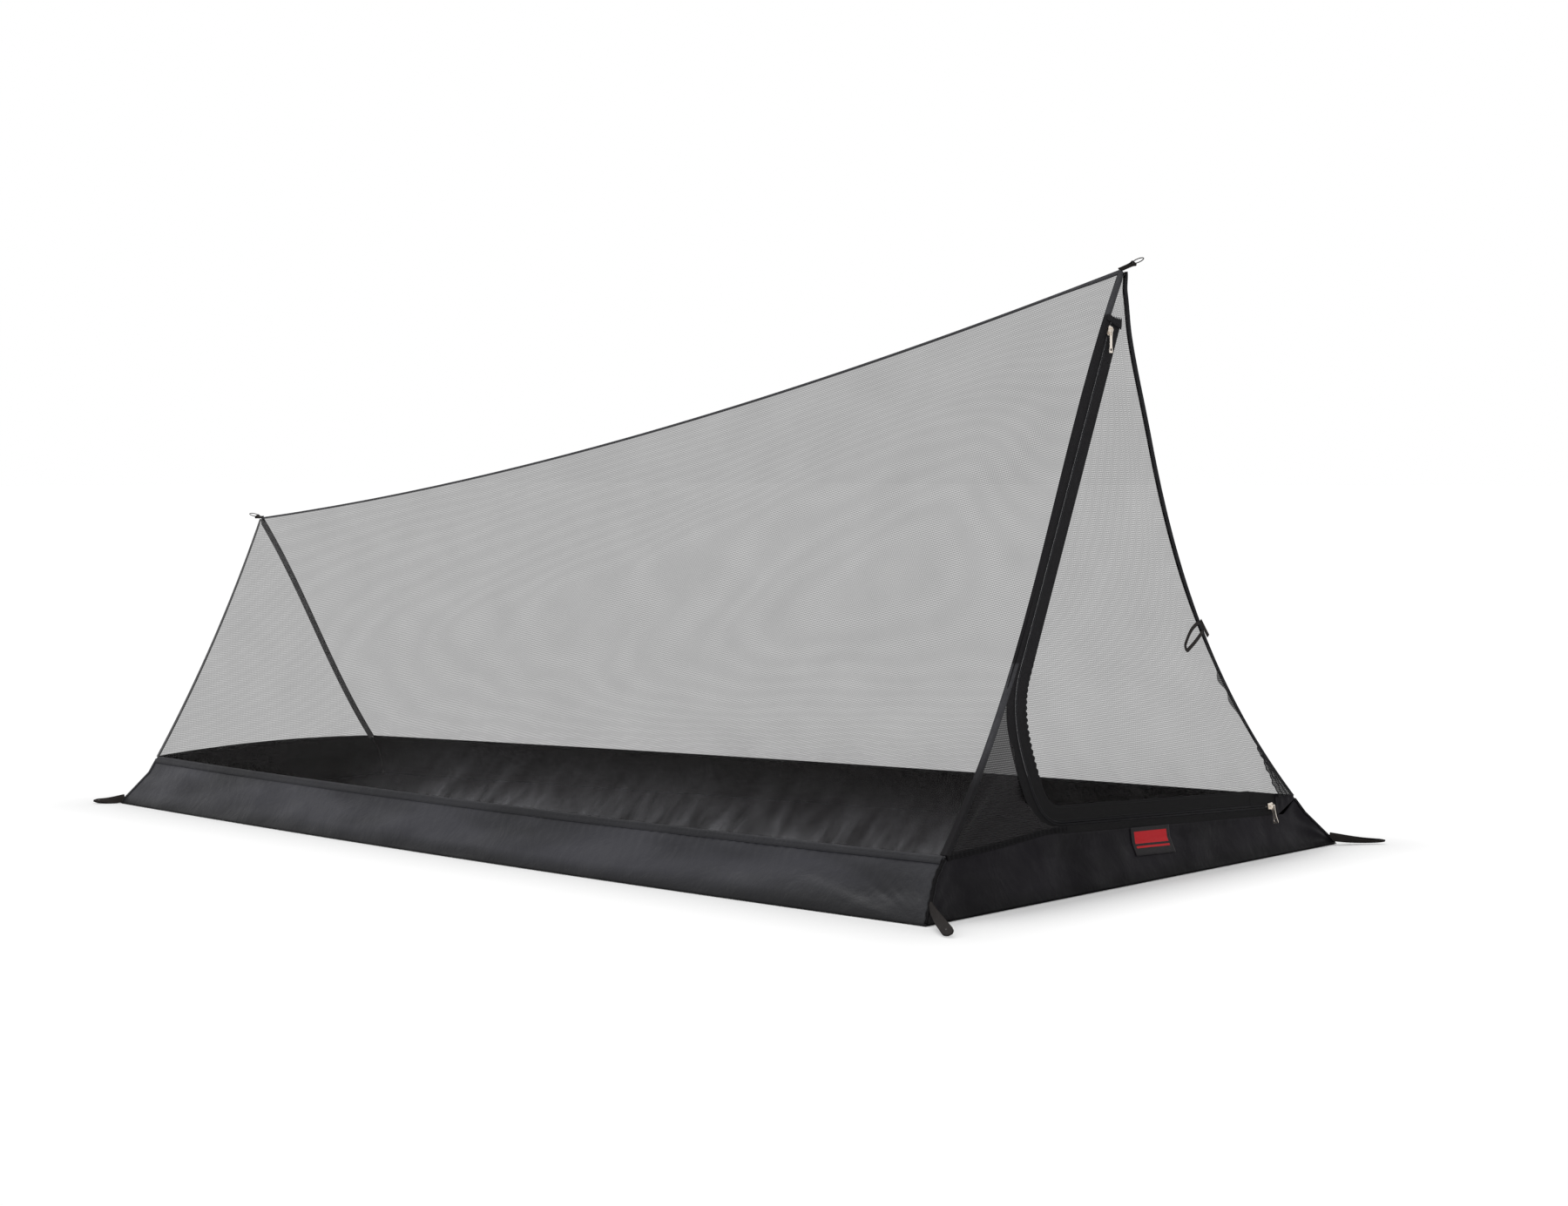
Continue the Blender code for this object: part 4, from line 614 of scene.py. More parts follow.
MATERIALS = {
    "net": net_material("net_threads", (0.020, 0.019, 0.019), 0.196),
    "net_left": net_material("net_threads_left", (0.020, 0.019, 0.019), 0.196, 0.0, 0.60),
    "net_right": net_material("net_threads_right", (0.020, 0.019, 0.019), 0.196, 0.0, 0.12),
    "gusset": net_material("gusset_threads", (0.016, 0.015, 0.016), 0.44, 0.58),
    "gathered": net_material("gathered_threads", (0.010, 0.010, 0.010), 0.42, 0.42),
    "wall": fabric_material("wall_cloth", (0.0150, 0.0150, 0.0178), 0.42, 0.0024, 0.13, 0.012, 3.4),
    # Painted shade: the front wall is the wall's cloth painted about three times darker, for the front end
    # turned away from the light.
    "front_wall": fabric_material("front_wall_cloth_painted_shade", (0.0046, 0.0040, 0.0054), 0.50, 0.0024, 0.055,
                                  0.0, 2.2),
    # Painted shade: the inner faces and the floor are the wall's cloth painted darker, the floor far darker,
    # for the shade inside the tent.
    "inside": fabric_material("inner_cloth_painted_shade", (0.0090, 0.0084, 0.0088), 0.95, 0.0010, 0.0, 0.0),
    "floor": fabric_material("floor_cloth_painted_shade", (0.0016, 0.0016, 0.0018), 0.95, 0.0010, 0.0, 0.0),
    "band": fabric_material("felled_seam_cloth", (0.0140, 0.0140, 0.0162), 0.50, 0.0014, 0.12, 0.008, 2.0),
    # Painted shade: the seam cloth of the front end, painted about four times darker than the felled seam
    # band.
    "front_band_painted_shade": fabric_material("front_seam_cloth_painted_shade", (0.0036, 0.0033, 0.0040), 0.55, 0.0012, 0.04, 0.0),
    "tape": webbing_material("seam_binding", (0.060, 0.060, 0.065), 0.75, 0.0010, 0.0008),
    "rear_tape": webbing_material("rear_seam_binding", (0.125, 0.124, 0.126), 0.75, 0.0010, 0.0008),
    "inner_tape": webbing_material("inner_seam_tape", (0.190, 0.189, 0.192), 0.75, 0.0010, 0.0008),
    "zip_side_tape": webbing_material("seam_binding_by_zip", (0.052, 0.052, 0.057), 0.75, 0.0010, 0.0008,
                                      ((0.365, 0.9150), (-0.100, 0.215))),
    "dark_tape": webbing_material("dark_seam_binding", (0.016, 0.016, 0.018), 0.75, 0.0010, 0.0008),
    "zip": webbing_material("zip_tape_cloth", ZIP_COLOUR, 0.72, 0.0009, 0.0007, (), 0.35),
    "coil": webbing_material("zip_coil", (0.034, 0.034, 0.038), 0.40, 0.0016, 0.0016, (), 0.45),
    "webbing": webbing_material("webbing_cloth", (0.022, 0.019, 0.018), 0.80, 0.0012, 0.0014),
    "thread": thread_material("dark_thread", (0.006, 0.006, 0.007)),
    "grey_thread": thread_material("mid_thread", (0.085, 0.085, 0.090)),
    "pale_thread": thread_material("grey_thread", (0.30, 0.29, 0.28)),
    "slider": metal_material("slider_plating", (0.86, 0.79, 0.71), 0.32, (0.66, 0.60, 0.53)),
    "pull": metal_material("pull_plating", (0.95, 0.88, 0.80), 0.32, (0.78, 0.71, 0.63)),
    "ring": metal_material("ring_plating", (0.034, 0.033, 0.032), 0.34, (0.020, 0.019, 0.019)),
}


def label_material(middle, length):
    """Bare woven label: dark satin with a wide and a narrow plain red stripe, and no lettering."""
    m = Nodes("plain_label", (0.012, 0.010, 0.012), 0.5)
    uv = m.coords()
    x, y, _ = m.split(uv)
    height = m.math("ADD", m.wave(x, 0.0007), m.math("MULTIPLY", m.wave(y, 0.0005), 0.7))
    m.set("Normal", m.bump(height, 0.00005))
    ground = m.mix(m.ramp(m.noise(uv, 120.0), 0.3, 0.7), (0.006, 0.005, 0.006), (0.012, 0.010, 0.012))
    inside = m.math("LESS_THAN", m.math("ABSOLUTE", m.math("SUBTRACT", x, length / 2)), length * 0.42)
    for offset, half in ((0.0058, 0.0100), (-0.0094, 0.0016)):
        away = m.math("ABSOLUTE", m.math("SUBTRACT", y, middle + offset))
        stripe = m.math("MULTIPLY", m.math("LESS_THAN", away, half), inside)
        ground = m.mix(m.math("MULTIPLY", stripe, 0.9), ground, (0.50, 0.008, 0.014))
    m.set("Base Color", ground)
    m.soften(0.1, 0.03)
    return m.material


# Placing of pieces

def place(item, body, slot, *nodes):
    """Piece that rides on a body, and hides the solids that it stands for; its finish, slot, is not used."""
    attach(item, body)
    if nodes:
        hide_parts(*nodes)


def thread_row(name, middle, out, pitch, long, body, slot, along=None, across=None, key="thread",
               wide=THREAD_WIDE, high=THREAD_HIGH):
    """Placed row of stitches; its ways follow the line unless they are given."""
    if along is None:
        along = unit(np.gradient(middle, axis=0))
        across = np.cross(out, along)
    row = stitches(name, middle, along, across, out, pitch, (long, wide, high), MATERIALS[key])
    place(row, body, slot)
    return row


def tack(name, line, along, across, out, pitch, long):
    """Short pale tack across webbing."""
    along, across, out = (np.tile(v, (2, 1)) for v in (along, across, out))
    thread_row(name, np.stack(line), out, pitch, long, "tent", "webbing", along, across, "pale_thread",
               0.0012, 0.0005)


def declare(item):
    """Area and flat cut of a cloth sheet, read off its own mesh and left unused."""
    mesh = item.data
    area = sum(face.area for face in mesh.polygons)
    if "thick" in item:
        area = area / 2
    flat = np.zeros(len(mesh.loops) * 2, np.float32)
    mesh.uv_layers[0].data.foreach_get("uv", flat)
    flat = flat.reshape(-1, 2)


# Side nets and walls

def side_uv(points):
    """Flat place of a side sheet: straight length along the tent and distance down the sheet."""
    return np.stack([-points[..., 1], -path_length(points)], -1)


def build_side_net(side, name):
    """Net of one long side, with its billow, its folds and the gathers above the wall."""
    u = np.concatenate([np.linspace(0, 0.94, 128), np.linspace(0.94, 1, 36)[1:]])[None, :]
    v = np.linspace(0, 1, 71)[:, None]
    surface = side_net(side)
    points, normals = surface(u, v), side_normal(surface, u, v, side)
    billow = 0.0170 * hump(u, 0.55, 0.90, 1.0) * hump(v, 0.0, 0.26, 0.72)
    fold = np.sin(np.arctan2(v, 1.12 - u) * 13) * hump(u, 0.0, 0.62, 1.0) * hump(v, 0.0, 0.45, 1.0)
    edge = np.minimum(rim(u) * LENGTH / 0.05, rim(v) * 0.8 / 0.05)
    soft = ripple(points, 0.20, 11 + side) * 0.0008 * smooth(edge)
    drop = points[..., 2] - WALL_HEIGHT
    gather = ripple(points * np.array((0.3, 1.0, 0.3)), 0.030, 61 + side) * 0.0022 \
        * np.exp(-drop / 0.045) * smooth(drop / 0.010) * smooth(rim(u) / 0.02)
    points = points + normals * (billow + 0.0030 * fold + soft + gather)[..., None]
    if side == RIGHT:
        puff = 0.0210 * hump((1 - u) * LENGTH, 0.0, 0.009, 0.085) * hump(v, 0.0, 0.075, 0.21)
        points = points + normals * puff[..., None]
        points[..., 0] += top_lean(points[..., 2]) * smooth((u - 0.985) / 0.015)
    net = grid_sheet(f"net_sheet_{name}", points, side_uv(points), MATERIALS[f"net_{name}"])
    place(net, "tent", "net", f"net_{name}")
    return net


def build_side_wall(side, name):
    """Wall of one long side, with creases from the front corner, soft waves and tucks under the seam."""
    v, u = shares(25, 360)
    surface = side_wall(side)
    points, normals = surface(u, v), side_normal(surface, u, v, side)
    flat = 0.0120 / WALL_HEIGHT
    front_away = (1 - u) * LENGTH
    ray = np.arctan2(WALL_HEIGHT * 1.15 - v * WALL_HEIGHT, front_away + 0.02)
    creases = np.sin(ray * 13 + 1.2 * np.sin(ray * 31)) * np.exp(-front_away / 0.25) * 0.0018
    waves = ripple(points * np.array((1, 0.30, 1)), 0.115, 71 + side) * 0.0028
    pucker = (creases + waves) * hump(v, flat, 0.58, 0.97) * smooth(front_away / 0.03) * smooth(u / 0.02)
    off_edge = smooth(v / 0.25) * smooth((1 - v) / 0.12) * smooth(u / 0.02) * smooth((1 - u) / 0.02)
    tuck = np.sin(u * LENGTH * 2 * math.pi / 0.021 + 2 * np.sin(u * 40)) * np.exp(-v / 0.22) \
        * smooth(v / 0.10) * (0.3 + 0.7 * hump(u, 0.35, 0.80, 1.02)) * 0.0009
    lean = ripple(points * np.array((1, 0.45, 1)), 0.10, 5 + side) * 0.0018 * off_edge
    points = points + normals * (pucker + tuck + lean)[..., None]
    wall = grid_sheet(f"wall_sheet_{name}", points, side_uv(points), MATERIALS["wall"], CLOTH_THICK)
    place(wall, "tent", "wall", f"wall_{name}")
    return wall


def build_side_seam(side, name):
    """Felled seam between net and wall of one long side, with its two rows of stitches."""
    net, wall = side_net(side), side_wall(side)
    u = np.linspace(0.0015, 0.9985, 500)
    net_way, wall_way = unit(net(u, 0.99) - net(u, 1.0)), unit(wall(u, 0.04) - wall(u, 0.0))
    net_out, wall_out = side_normal(net, u, 1.0, side), side_normal(wall, u, 0.0, side)
    both_out = unit(net_out + wall_out)
    middle = wall_top(side)(u)
    along = unit(np.gradient(middle, axis=0))
    run = path_length(middle)
    puff = 0.00035 * np.sin(run * 2 * math.pi / 0.0105 + 1.5 * np.sin(run * 9)) \
        * (0.35 + hump(u, 0.4, 0.82, 1.02))
    low, thick = 0.0010, 0.0011
    rows = []
    for reach, way, out, rise in (
            (0.0034, net_way, net_out, 0), (0.0034, net_way, net_out, 0.8), (0.0016, net_way, net_out, 1.1),
            (0.0004, unit(net_way), both_out, 1.2), (0.0030, wall_way, wall_out, 1.2),
            (0.0060, wall_way, wall_out, 1.45), (0.0086, wall_way, wall_out, 1.1),
            (0.0098, wall_way, wall_out, 0.85), (0.0110, wall_way, wall_out, 0.8),
            (0.0112, wall_way, wall_out, 0.1), (0.0060, wall_way, wall_out, 0),
            (0.0004, wall_way, both_out, 0)):
        raised = puff[:, None] if rise > 0.9 else 0.0
        rows.append(middle + way * reach + out * (low + thick * rise + raised))
    seam = loft(f"felled_seam_{name}", np.stack(rows, 1), MATERIALS["band"])
    place(seam, "tent", "tape", f"wall_seam_{name}")
    sewn = [seam]
    for part, reach, rise, long, wide in (("", 0.0094, 0.95, 0.0027, 0.0006),
                                          ("upper_", 0.0022, 1.15, FELL_THREAD, THREAD_WIDE)):
        line = middle + wall_way * reach + wall_out * (low + thick * rise)
        sewn.append(thread_row(f"felled_stitches_{part}{name}", line, wall_out, FELL_PITCH, long, "tent",
                               "tape", along, wall_way, wide=wide))
    return sewn


def build_side(side, name):
    """Net, wall and felled seam of one long side."""
    net = build_side_net(side, name)
    wall = build_side_wall(side, name)
    sewn = build_side_seam(side, name)
    declare(net)
    declare(wall)


def build_floor():
    """Floor cloth with low soft wrinkles."""
    t, s = shares(90, 50)
    left, right = ground_edge(LEFT)(t), ground_edge(RIGHT)(t)
    points = left * (1 - s[..., None]) + right * s[..., None]
    edge = smooth(rim(s) / 0.06) * smooth(rim(t) / 0.04)
    swell = np.abs(ripple(points, 0.22, 3)) * 0.0016 * edge
    points = points + np.array((0, 0, 1)) * (0.0004 + swell)[..., None]
    # The floor cloth is painted very dark, as painted shade inside the tent.
    floor = grid_sheet("floor_cloth_sheet", points, points[..., :2].copy(), MATERIALS["floor"], 0.0007)
    place(floor, "tent", "floor", "floor_sheet")
    declare(floor)


def at_end(surface, side, end, t):
    """Ways off the seam of an end panel, over the panel and the side surface, and the surface's normal."""
    u = 1.0 if end == FRONT else 0.0
    across = np.tile(np.array((-side, 0.0, 0.0)), (len(t), 1))
    inward = unit(surface(abs(u - 0.01), t) - surface(u, t))
    return (across, inward), side_normal(surface, u, t, side)


def seam_binding(name, middle, ways, outs, legs, key, nodes, thick=0.0011, low=0.0009, thread="thread"):
    """Folded binding over a seam between two sheets, with a row of stitches on each leg."""
    bend = unit(outs[0] + outs[1])
    round_out = bend * (1 / np.sum(bend * outs[0], -1, keepdims=True))
    wavy = 0.00012 * np.sin(path_length(middle) * 2 * math.pi / 0.009)[:, None]
    legs = [np.broadcast_to(np.asarray(leg, float), len(middle))[:, None] for leg in legs]
    low_rows, high_rows = [], []
    for way, out, leg in zip(ways, outs, legs):
        low_rows.append([middle + way * leg * share + out * low for share in (1.0, 0.5)])
        high_rows.append([middle + way * leg * share + out * (low + thick * rise + wave)
                          for share, rise, wave in ((0.30, 1.05, wavy), (0.72, 1.0, wavy), (0.95, 0.8, 0.0),
                                                    (1.0, 0.35, 0.0))])
    crest, root = middle + round_out * (low + thick * 1.02), middle + round_out * low
    sections = high_rows[0][::-1] + [crest] + high_rows[1] + low_rows[1] + [root] + low_rows[0][::-1]
    item = loft(name, np.stack(sections, 1), MATERIALS[key])
    place(item, "tent", "tape", *nodes)
    along = unit(np.gradient(middle, axis=0))
    for k, (way, out, leg) in enumerate(zip(ways, outs, legs)):
        line = middle + way * (leg * 0.72) + out * (low + thick * 0.97)
        thread_row(f"{name}_stitches_{k}", line, out, 0.0034, 0.0025, "tent", "tape", along, way, thread)


def build_bindings():
    """Bindings over the ridge and the four end seams."""
    t = np.linspace(0.0010, 0.9990, 320)
    middle = ridge(t)
    ways = [unit(side_net(side)(t, 0.02) - middle) for side in (LEFT, RIGHT)]
    outs = [side_normal(side_net(side), t, 0.0, side) for side in (LEFT, RIGHT)]
    leg = 0.0016 + 0.0006 * t + 0.0026 * smooth((t - 0.93) / 0.06)
    seam_binding("ridge_binding", middle, ways, outs, (leg, leg), "tape", ["ridge_tape"], 0.0008, 0.0005)
    for end, end_name in ENDS:
        for side, name in SIDES:
            build_end_binding(side, end, f"{end_name}_binding_{name}", f"{end_name}_tape_{name}")


def build_end_binding(side, end, name, node):
    """Binding over one end seam, and the pale strip inside the far rear seam."""
    t = np.linspace(0.002 if end == FRONT else 0.004, 0.996, 220)
    middle = end_seam(side, end)(t)
    ways, net_out = at_end(side_net(side), side, end, t)
    full = 0.0070
    leg = np.minimum(full, np.abs(middle[:, 0]) - 0.0003)
    low_part = smooth((t - 0.55) / 0.2) if (end, side) == (FRONT, RIGHT) else 0.0
    wide = 0.45 * smooth((t - 0.84) / 0.14) if (end, side) == (FRONT, LEFT) else 0.0
    legs = (leg * (1 - 0.25 * low_part + wide), full * (1 - 0.35 * low_part + wide))
    if (end, side) == (REAR, LEFT):
        legs = (leg * (0.35 + 0.35 * t), 0.0026 + 0.0020 * t)
    if (end, side) == (FRONT, RIGHT):
        middle[:, 0] += top_lean(middle[:, 2])
    key = {(FRONT, RIGHT): "dark_tape", (FRONT, LEFT): "zip_side_tape"}.get((end, side), "rear_tape")
    outs = (panel_normal(middle[:, 2], end), net_out)
    seam_binding(name, middle, ways, outs, legs, key, [node])
    if (end, side) == (REAR, RIGHT):
        out = unit(outs[0] + outs[1])
        way = unit(np.cross(out, unit(np.gradient(middle, axis=0))))
        half = np.minimum(0.0052, np.abs(middle[:, 0]))
        inner = ribbon("rear_seam_inner_tape", middle - out * 0.0046, way, out, half, half, 0.0006, 0.0,
                       MATERIALS["inner_tape"])
        place(inner, "tent", "tape")


def build_corner_seams():
    """Sewn seams down the corners of the walls, puckered by their thread."""
    v = np.linspace(0.02, 0.97, 60)
    leg = 0.0050 + 0.0009 * np.sin(v * 40)
    for end, end_name in ENDS:
        for side, name in SIDES:
            middle = corner_edge(side, end)(v)
            ways, wall_out = at_end(side_wall(side), side, end, v)
            outs = (panel_normal(middle[:, 2], end), wall_out)
            # Front corner seams take the seam cloth painted darker, as painted shade.
            seam_binding(f"{end_name}_corner_{name}", middle, ways, outs, (leg, leg),
                         "front_band_painted_shade" if end == FRONT else "band", [], 0.0010, 0.0006, "grey_thread")


def panel_net(name, x, z, lift, key, nodes=(), end=FRONT):
    """Net sheet on an end panel, and its points."""
    points = on_panel(x, z, lift, end)
    sheet = grid_sheet(name, points, front_uv(points[..., [0, 2]]), MATERIALS[key])
    place(sheet, "tent", "net", *nodes)
    return sheet, points


def build_gathers():
    """Spare net of the right seam, folded over the front panel: a hemmed flap low down, and one above."""
    t, s = shares(70, 22)
    top, foot = 0.2150, WALL_HEIGHT + 0.0060
    z = top + (foot - top) * t
    reach = 0.0020 + 0.0440 * t ** 1.4
    x = half_width(z) - 0.0060 - reach * s
    wavy = 0.0012 * np.sin(t * 26 + s * 9) * s + 0.0008 * np.sin(t * 61)
    lift = 0.0036 + 0.0010 * s + wavy * smooth((1 - t) / 0.1)
    flap, points = panel_net("gathered_net_low", x, z, lift, "gathered")
    declare(flap)
    edge = points[:, -1]
    along = unit(np.gradient(edge, axis=0))
    out = panel_normal(edge[:, 2])
    hem = ribbon("gathered_net_hem", edge, unit(np.cross(out, along)), out, 0.0011, 0.0011, 0.0010, 0.0002,
                 MATERIALS["dark_tape"])
    place(hem, "tent", "tape")
    for k, (column, first) in enumerate(((14, 8), (8, 22))):
        line, line_out = points[first:, column] + out[first:] * 0.0006, out[first:]
        across = unit(np.cross(line_out, unit(np.gradient(line, axis=0))))
        width = 0.0009 + 0.0008 * np.sin(np.linspace(0, math.pi, len(line)))
        tuck = ribbon(f"gathered_net_tuck_{k}", line, across, line_out, width, width, 0.0009, 0.0002,
                      MATERIALS["dark_tape"])
        place(tuck, "tent", "tape")

    top, foot = 0.3700, 0.1900
    z = top + (foot - top) * t
    reach = 0.0040 + 0.0150 * hump(t, 0.0, 0.45, 1.0) * (0.7 + 0.3 * np.sin(t * 23))
    x = half_width(z) - 0.0055 - reach * s
    wavy = 0.0014 * np.sin(t * 33 + s * 5) * s
    lift = 0.0032 + 0.0012 * s + wavy * hump(t, 0.0, 0.3, 1.0)
    flap, _ = panel_net("gathered_net_middle", x, z, lift, "gathered")
    declare(flap)


# Foot end

def build_rear():
    """Net and wall of the foot end."""
    def top_z(x):
        return WALL_HEIGHT + REAR_WALL_TOP_RISE * bell(x / WALL_TOP_WIDTH[REAR] + 0.5, 0)

    t, s = shares(60, 50, -1)
    x_low = s * WALL_TOP_WIDTH[REAR] / 2
    z = PEAK_HEIGHT[REAR] - 0.003 + (WALL_HEIGHT - PEAK_HEIGHT[REAR] + 0.003) * t
    x = s * half_width(z, REAR)
    z = z + (top_z(x_low) - WALL_HEIGHT) * smooth((t - 0.5) / 0.5)
    calm = smooth((1 - np.abs(s)) / 0.2) * smooth((1 - t) / 0.1)
    lift = ripple(on_panel(x, z, 0, REAR), 0.12, 21) * 0.0012 * calm
    net, _ = panel_net("net_sheet_rear", x, z, lift, "net", ["net_rear"], REAR)
    t, s = shares(16, 70, -1)
    z = top_z(s * WALL_TOP_WIDTH[REAR] / 2) * (1 - t) + 0.001 * t
    x = s * half_width(z, REAR)
    calm = smooth((1 - np.abs(s)) / 0.1) * hump(t, 0, 0.5, 1)
    points = on_panel(x, z, ripple(on_panel(x, z, 0, REAR), 0.09, 22) * 0.0010 * calm, REAR)
    wall = grid_sheet("wall_sheet_rear", points, np.stack([x, z], -1), MATERIALS["wall"], CLOTH_THICK)
    place(wall, "tent", "wall", "wall_rear")
    x = np.linspace(-1, 1, 160) * (WALL_TOP_WIDTH[REAR] / 2 - 0.004)
    seam_band("felled_seam_rear", x, top_z(x), (0.0035, 0.0110), REAR, "band", ["wall_seam_rear"],
              0.0010, 0.0011)
    declare(net)
    declare(wall)


def seam_band(name, x, z, reach, end, key, nodes, low, thick):
    """Felled seam along a line of an end panel, with two rows of stitches."""
    middle = on_panel(x, z, 0, end)
    along = unit(np.gradient(middle, axis=0))
    out = panel_normal(z, end)
    across = unit(np.cross(along, out))
    across = across * np.where(across[:, 2:] > 0, 1, -1)
    wavy = 0.00025 * np.sin(path_length(middle) * 2 * math.pi / 0.011)
    item = ribbon(name, middle, across, out, reach[1], reach[0], thick, low + wavy, MATERIALS[key], 0.0003)
    place(item, "tent", "tape", *nodes)
    for k, shift in enumerate((reach[0] - 0.0014, -reach[1] + 0.0014)):
        line = middle + across * shift + out * (low + thick)
        thread_row(f"{name}_stitches_{k}", line, out, FELL_PITCH, FELL_THREAD, "tent", "tape", along, across)


# Zip

def bezier(start, start_pull, end_pull, end, t):
    """Cubic curve."""
    t = np.asarray(t)[:, None]
    s = 1 - t
    return start * s ** 3 + start_pull * (3 * s * s * t) + end_pull * (3 * s * t * t) + end * t ** 3


def arc_places():
    """The long arc of the chain as (x, z) places from its top."""
    heights = (ZIP_TOP, (ZIP_TOP + ZIP_ARC_FOOT) / 2, ZIP_ARC_FOOT)
    sides = (ZIP_TOP_FROM_SEAM, ZIP_FROM_SEAM, ZIP_FROM_SEAM)
    first, middle, last = (Vector(on_panel(d - half_width(z), z)) for z, d in zip(heights, sides))
    a, b = middle - first, last - first
    across = a.cross(b)
    offset = across.cross(a) * b.length_squared + b.cross(across) * a.length_squared
    centre = first + offset / (2 * across.length_squared)
    axis = (first - centre).cross(last - centre).normalized()
    angle = (first - centre).angle(last - centre)
    points = [centre + Matrix.Rotation(angle * t, 3, axis) @ (first - centre) for t in np.linspace(0, 1, 200)]
    return np.array([(p.x, p.z) for p in points])


class Chain:
    """Line of the zip's chain on the front panel, by its running length."""

    def __init__(self):
        arc = arc_places()
        start, aim = arc[-1], unit(arc[-1] - arc[-2])
        turn_end = np.array(ZIP_TURN)
        turn_aim = unit(np.array((ZIP_TURN_SLANT, -1.0)))
        foot, end = np.array(ZIP_FOOT), np.array(ZIP_END)
        foot_aim = unit(end - foot)
        t = np.linspace(0, 1, 120)
        turn = bezier(start, start + aim * ZIP_TURN_PULLS[0],
                      turn_end - turn_aim * ZIP_TURN_PULLS[1], turn_end, t)
        corner = bezier(turn_end, turn_end + turn_aim * ZIP_CORNER_PULLS[0],
                        foot - foot_aim * ZIP_CORNER_PULLS[1], foot, t)
        line = foot + (end - foot) * t[:, None]
        places = np.concatenate([arc, turn[1:], corner[1:], line[1:]])
        above = places[0] + unit(places[0] - places[1]) * ZIP_HEAD_ROOM
        places = np.concatenate([above[None], places])
        length = path_length(on_panel(places[:, 0], places[:, 1]))
        self.length, self.places = length - length[1], places
        self.total = self.length[-1]

    def place(self, s):
        """(x, z) at running lengths."""
        return read_off(s, self.length, self.places)

    def aim(self, s):
        """Unit (x, z) way to the door side of the chain."""
        d = 0.004
        low, high = self.length[0], self.total
        step = unit(self.place(np.clip(s + d, low, high)) - self.place(np.clip(s - d, low, high)))
        return np.stack([-step[..., 1], step[..., 0]], -1)

    def beside(self, s, reach):
        """(x, z) beside the chain."""
        return self.place(s) + self.aim(s) * np.asarray(reach, float)[..., None]

    def at(self, s, reach, lift):
        """Points in space beside the chain, lifted."""
        where = self.beside(s, reach)
        return on_panel(where[..., 0], where[..., 1], lift)

    def edge_x(self, z):
        """Place of the door-side edge of the tape at heights in the upper part."""
        edge = self.beside(self.length[:200], np.full(200, DOOR_SIDE))
        return np.interp(-z, -edge[:, 1], edge[:, 0])

    def at_height(self, z):
        """Running length of the upper part at a height."""
        upper = self.places[:, 1] > 0.2
        return float(np.interp(-z, -self.places[upper, 1], self.length[upper]))

    def at_x(self, x):
        """Running length of the foot at an x."""
        foot = self.places[:, 0] > ZIP_FOOT[0]
        foot &= self.length > self.total / 2
        return float(np.interp(x, self.places[foot, 0], self.length[foot]))


CHAIN = Chain()


def fixed_side(s):
    """Width of the tape on the fixed side of the chain."""
    where, aim = CHAIN.place(s), CHAIN.aim(s)
    room = (half_width(where[..., 1]) - 0.001 + where[..., 0]) / np.maximum(np.abs(aim[..., 0]), 0.2)
    narrow = smooth((where[..., 1] - ZIP_FOOT[1]) / (ZIP_TURN[1] - ZIP_FOOT[1]))
    return np.minimum(np.abs(room), FOOT_SIDE + (TURN_SIDE - FOOT_SIDE) * narrow)


def zip_tape(name, s, near, far, body, node):
    """Flat tape beside the chain between two reaches, with slightly thinner edges."""
    near, far = (np.broadcast_to(np.asarray(v, float), s.shape) for v in (near, far))
    parts = np.array([0, 0.03, 0.12, 0.25, 0.4, 0.55, 0.7, 0.85, 0.97, 1.0])
    rise = np.array([0.3, 0.85, 1, 1, 1, 1, 1, 1, 0.85, 0.3])
    upper, lower = ([CHAIN.at(s, near + (far - near) * part, sign * ZIP_THICK / 2 * height)
                     for part, height in zip(parts, rise)] for sign in (1, -1))
    item = loft(name, np.stack(upper + lower[::-1], 1), MATERIALS["zip"])
    place(item, body, "zip", node)


def coil(name, start, end, side, body):
    """Teeth of one half of the coil."""
    pitch = 0.0016
    places = np.arange(start, end, pitch) + (pitch / 2 if side > 0 else 0)
    sides = 6
    reaches = np.array([0.0003, 0.0006, 0.0016, 0.0029, 0.0035]) * side
    lifts = np.array([0.0006, 0.0011, 0.00125, 0.0011, 0.0003])
    fat = np.array([0.00032, 0.00052, 0.00050, 0.00048, 0.0003])
    points, faces = [], []
    for s in places:
        s_row = np.full(len(reaches), s)
        middle = CHAIN.at(s_row, reaches, lifts)
        along = unit(CHAIN.at(s_row + 0.001, reaches, lifts) - middle)
        out = panel_normal(CHAIN.beside(s_row, reaches)[:, 1])
        base = len(points)
        for m, a, o, r in zip(middle, along, out, fat):
            for k in range(sides):
                angle = 2 * math.pi * k / sides
                points.append(m + a * r * math.cos(angle) + o * r * 0.8 * math.sin(angle))
        for row in range(len(reaches) - 1):
            for k in range(sides):
                n = (k + 1) % sides
                first = base + row * sides
                faces.append((first + k, first + n, first + sides + n, first + sides + k))
        faces.append(tuple(base + k for k in range(sides)))
        faces.append(tuple(base + (len(reaches) - 1) * sides + k for k in reversed(range(sides))))
    points = np.array(points)
    item = mesh_object(name, points, faces, points[:, [0, 2]].copy(), MATERIALS["coil"])
    fix_normals(item)
    place(item, body, "zip")


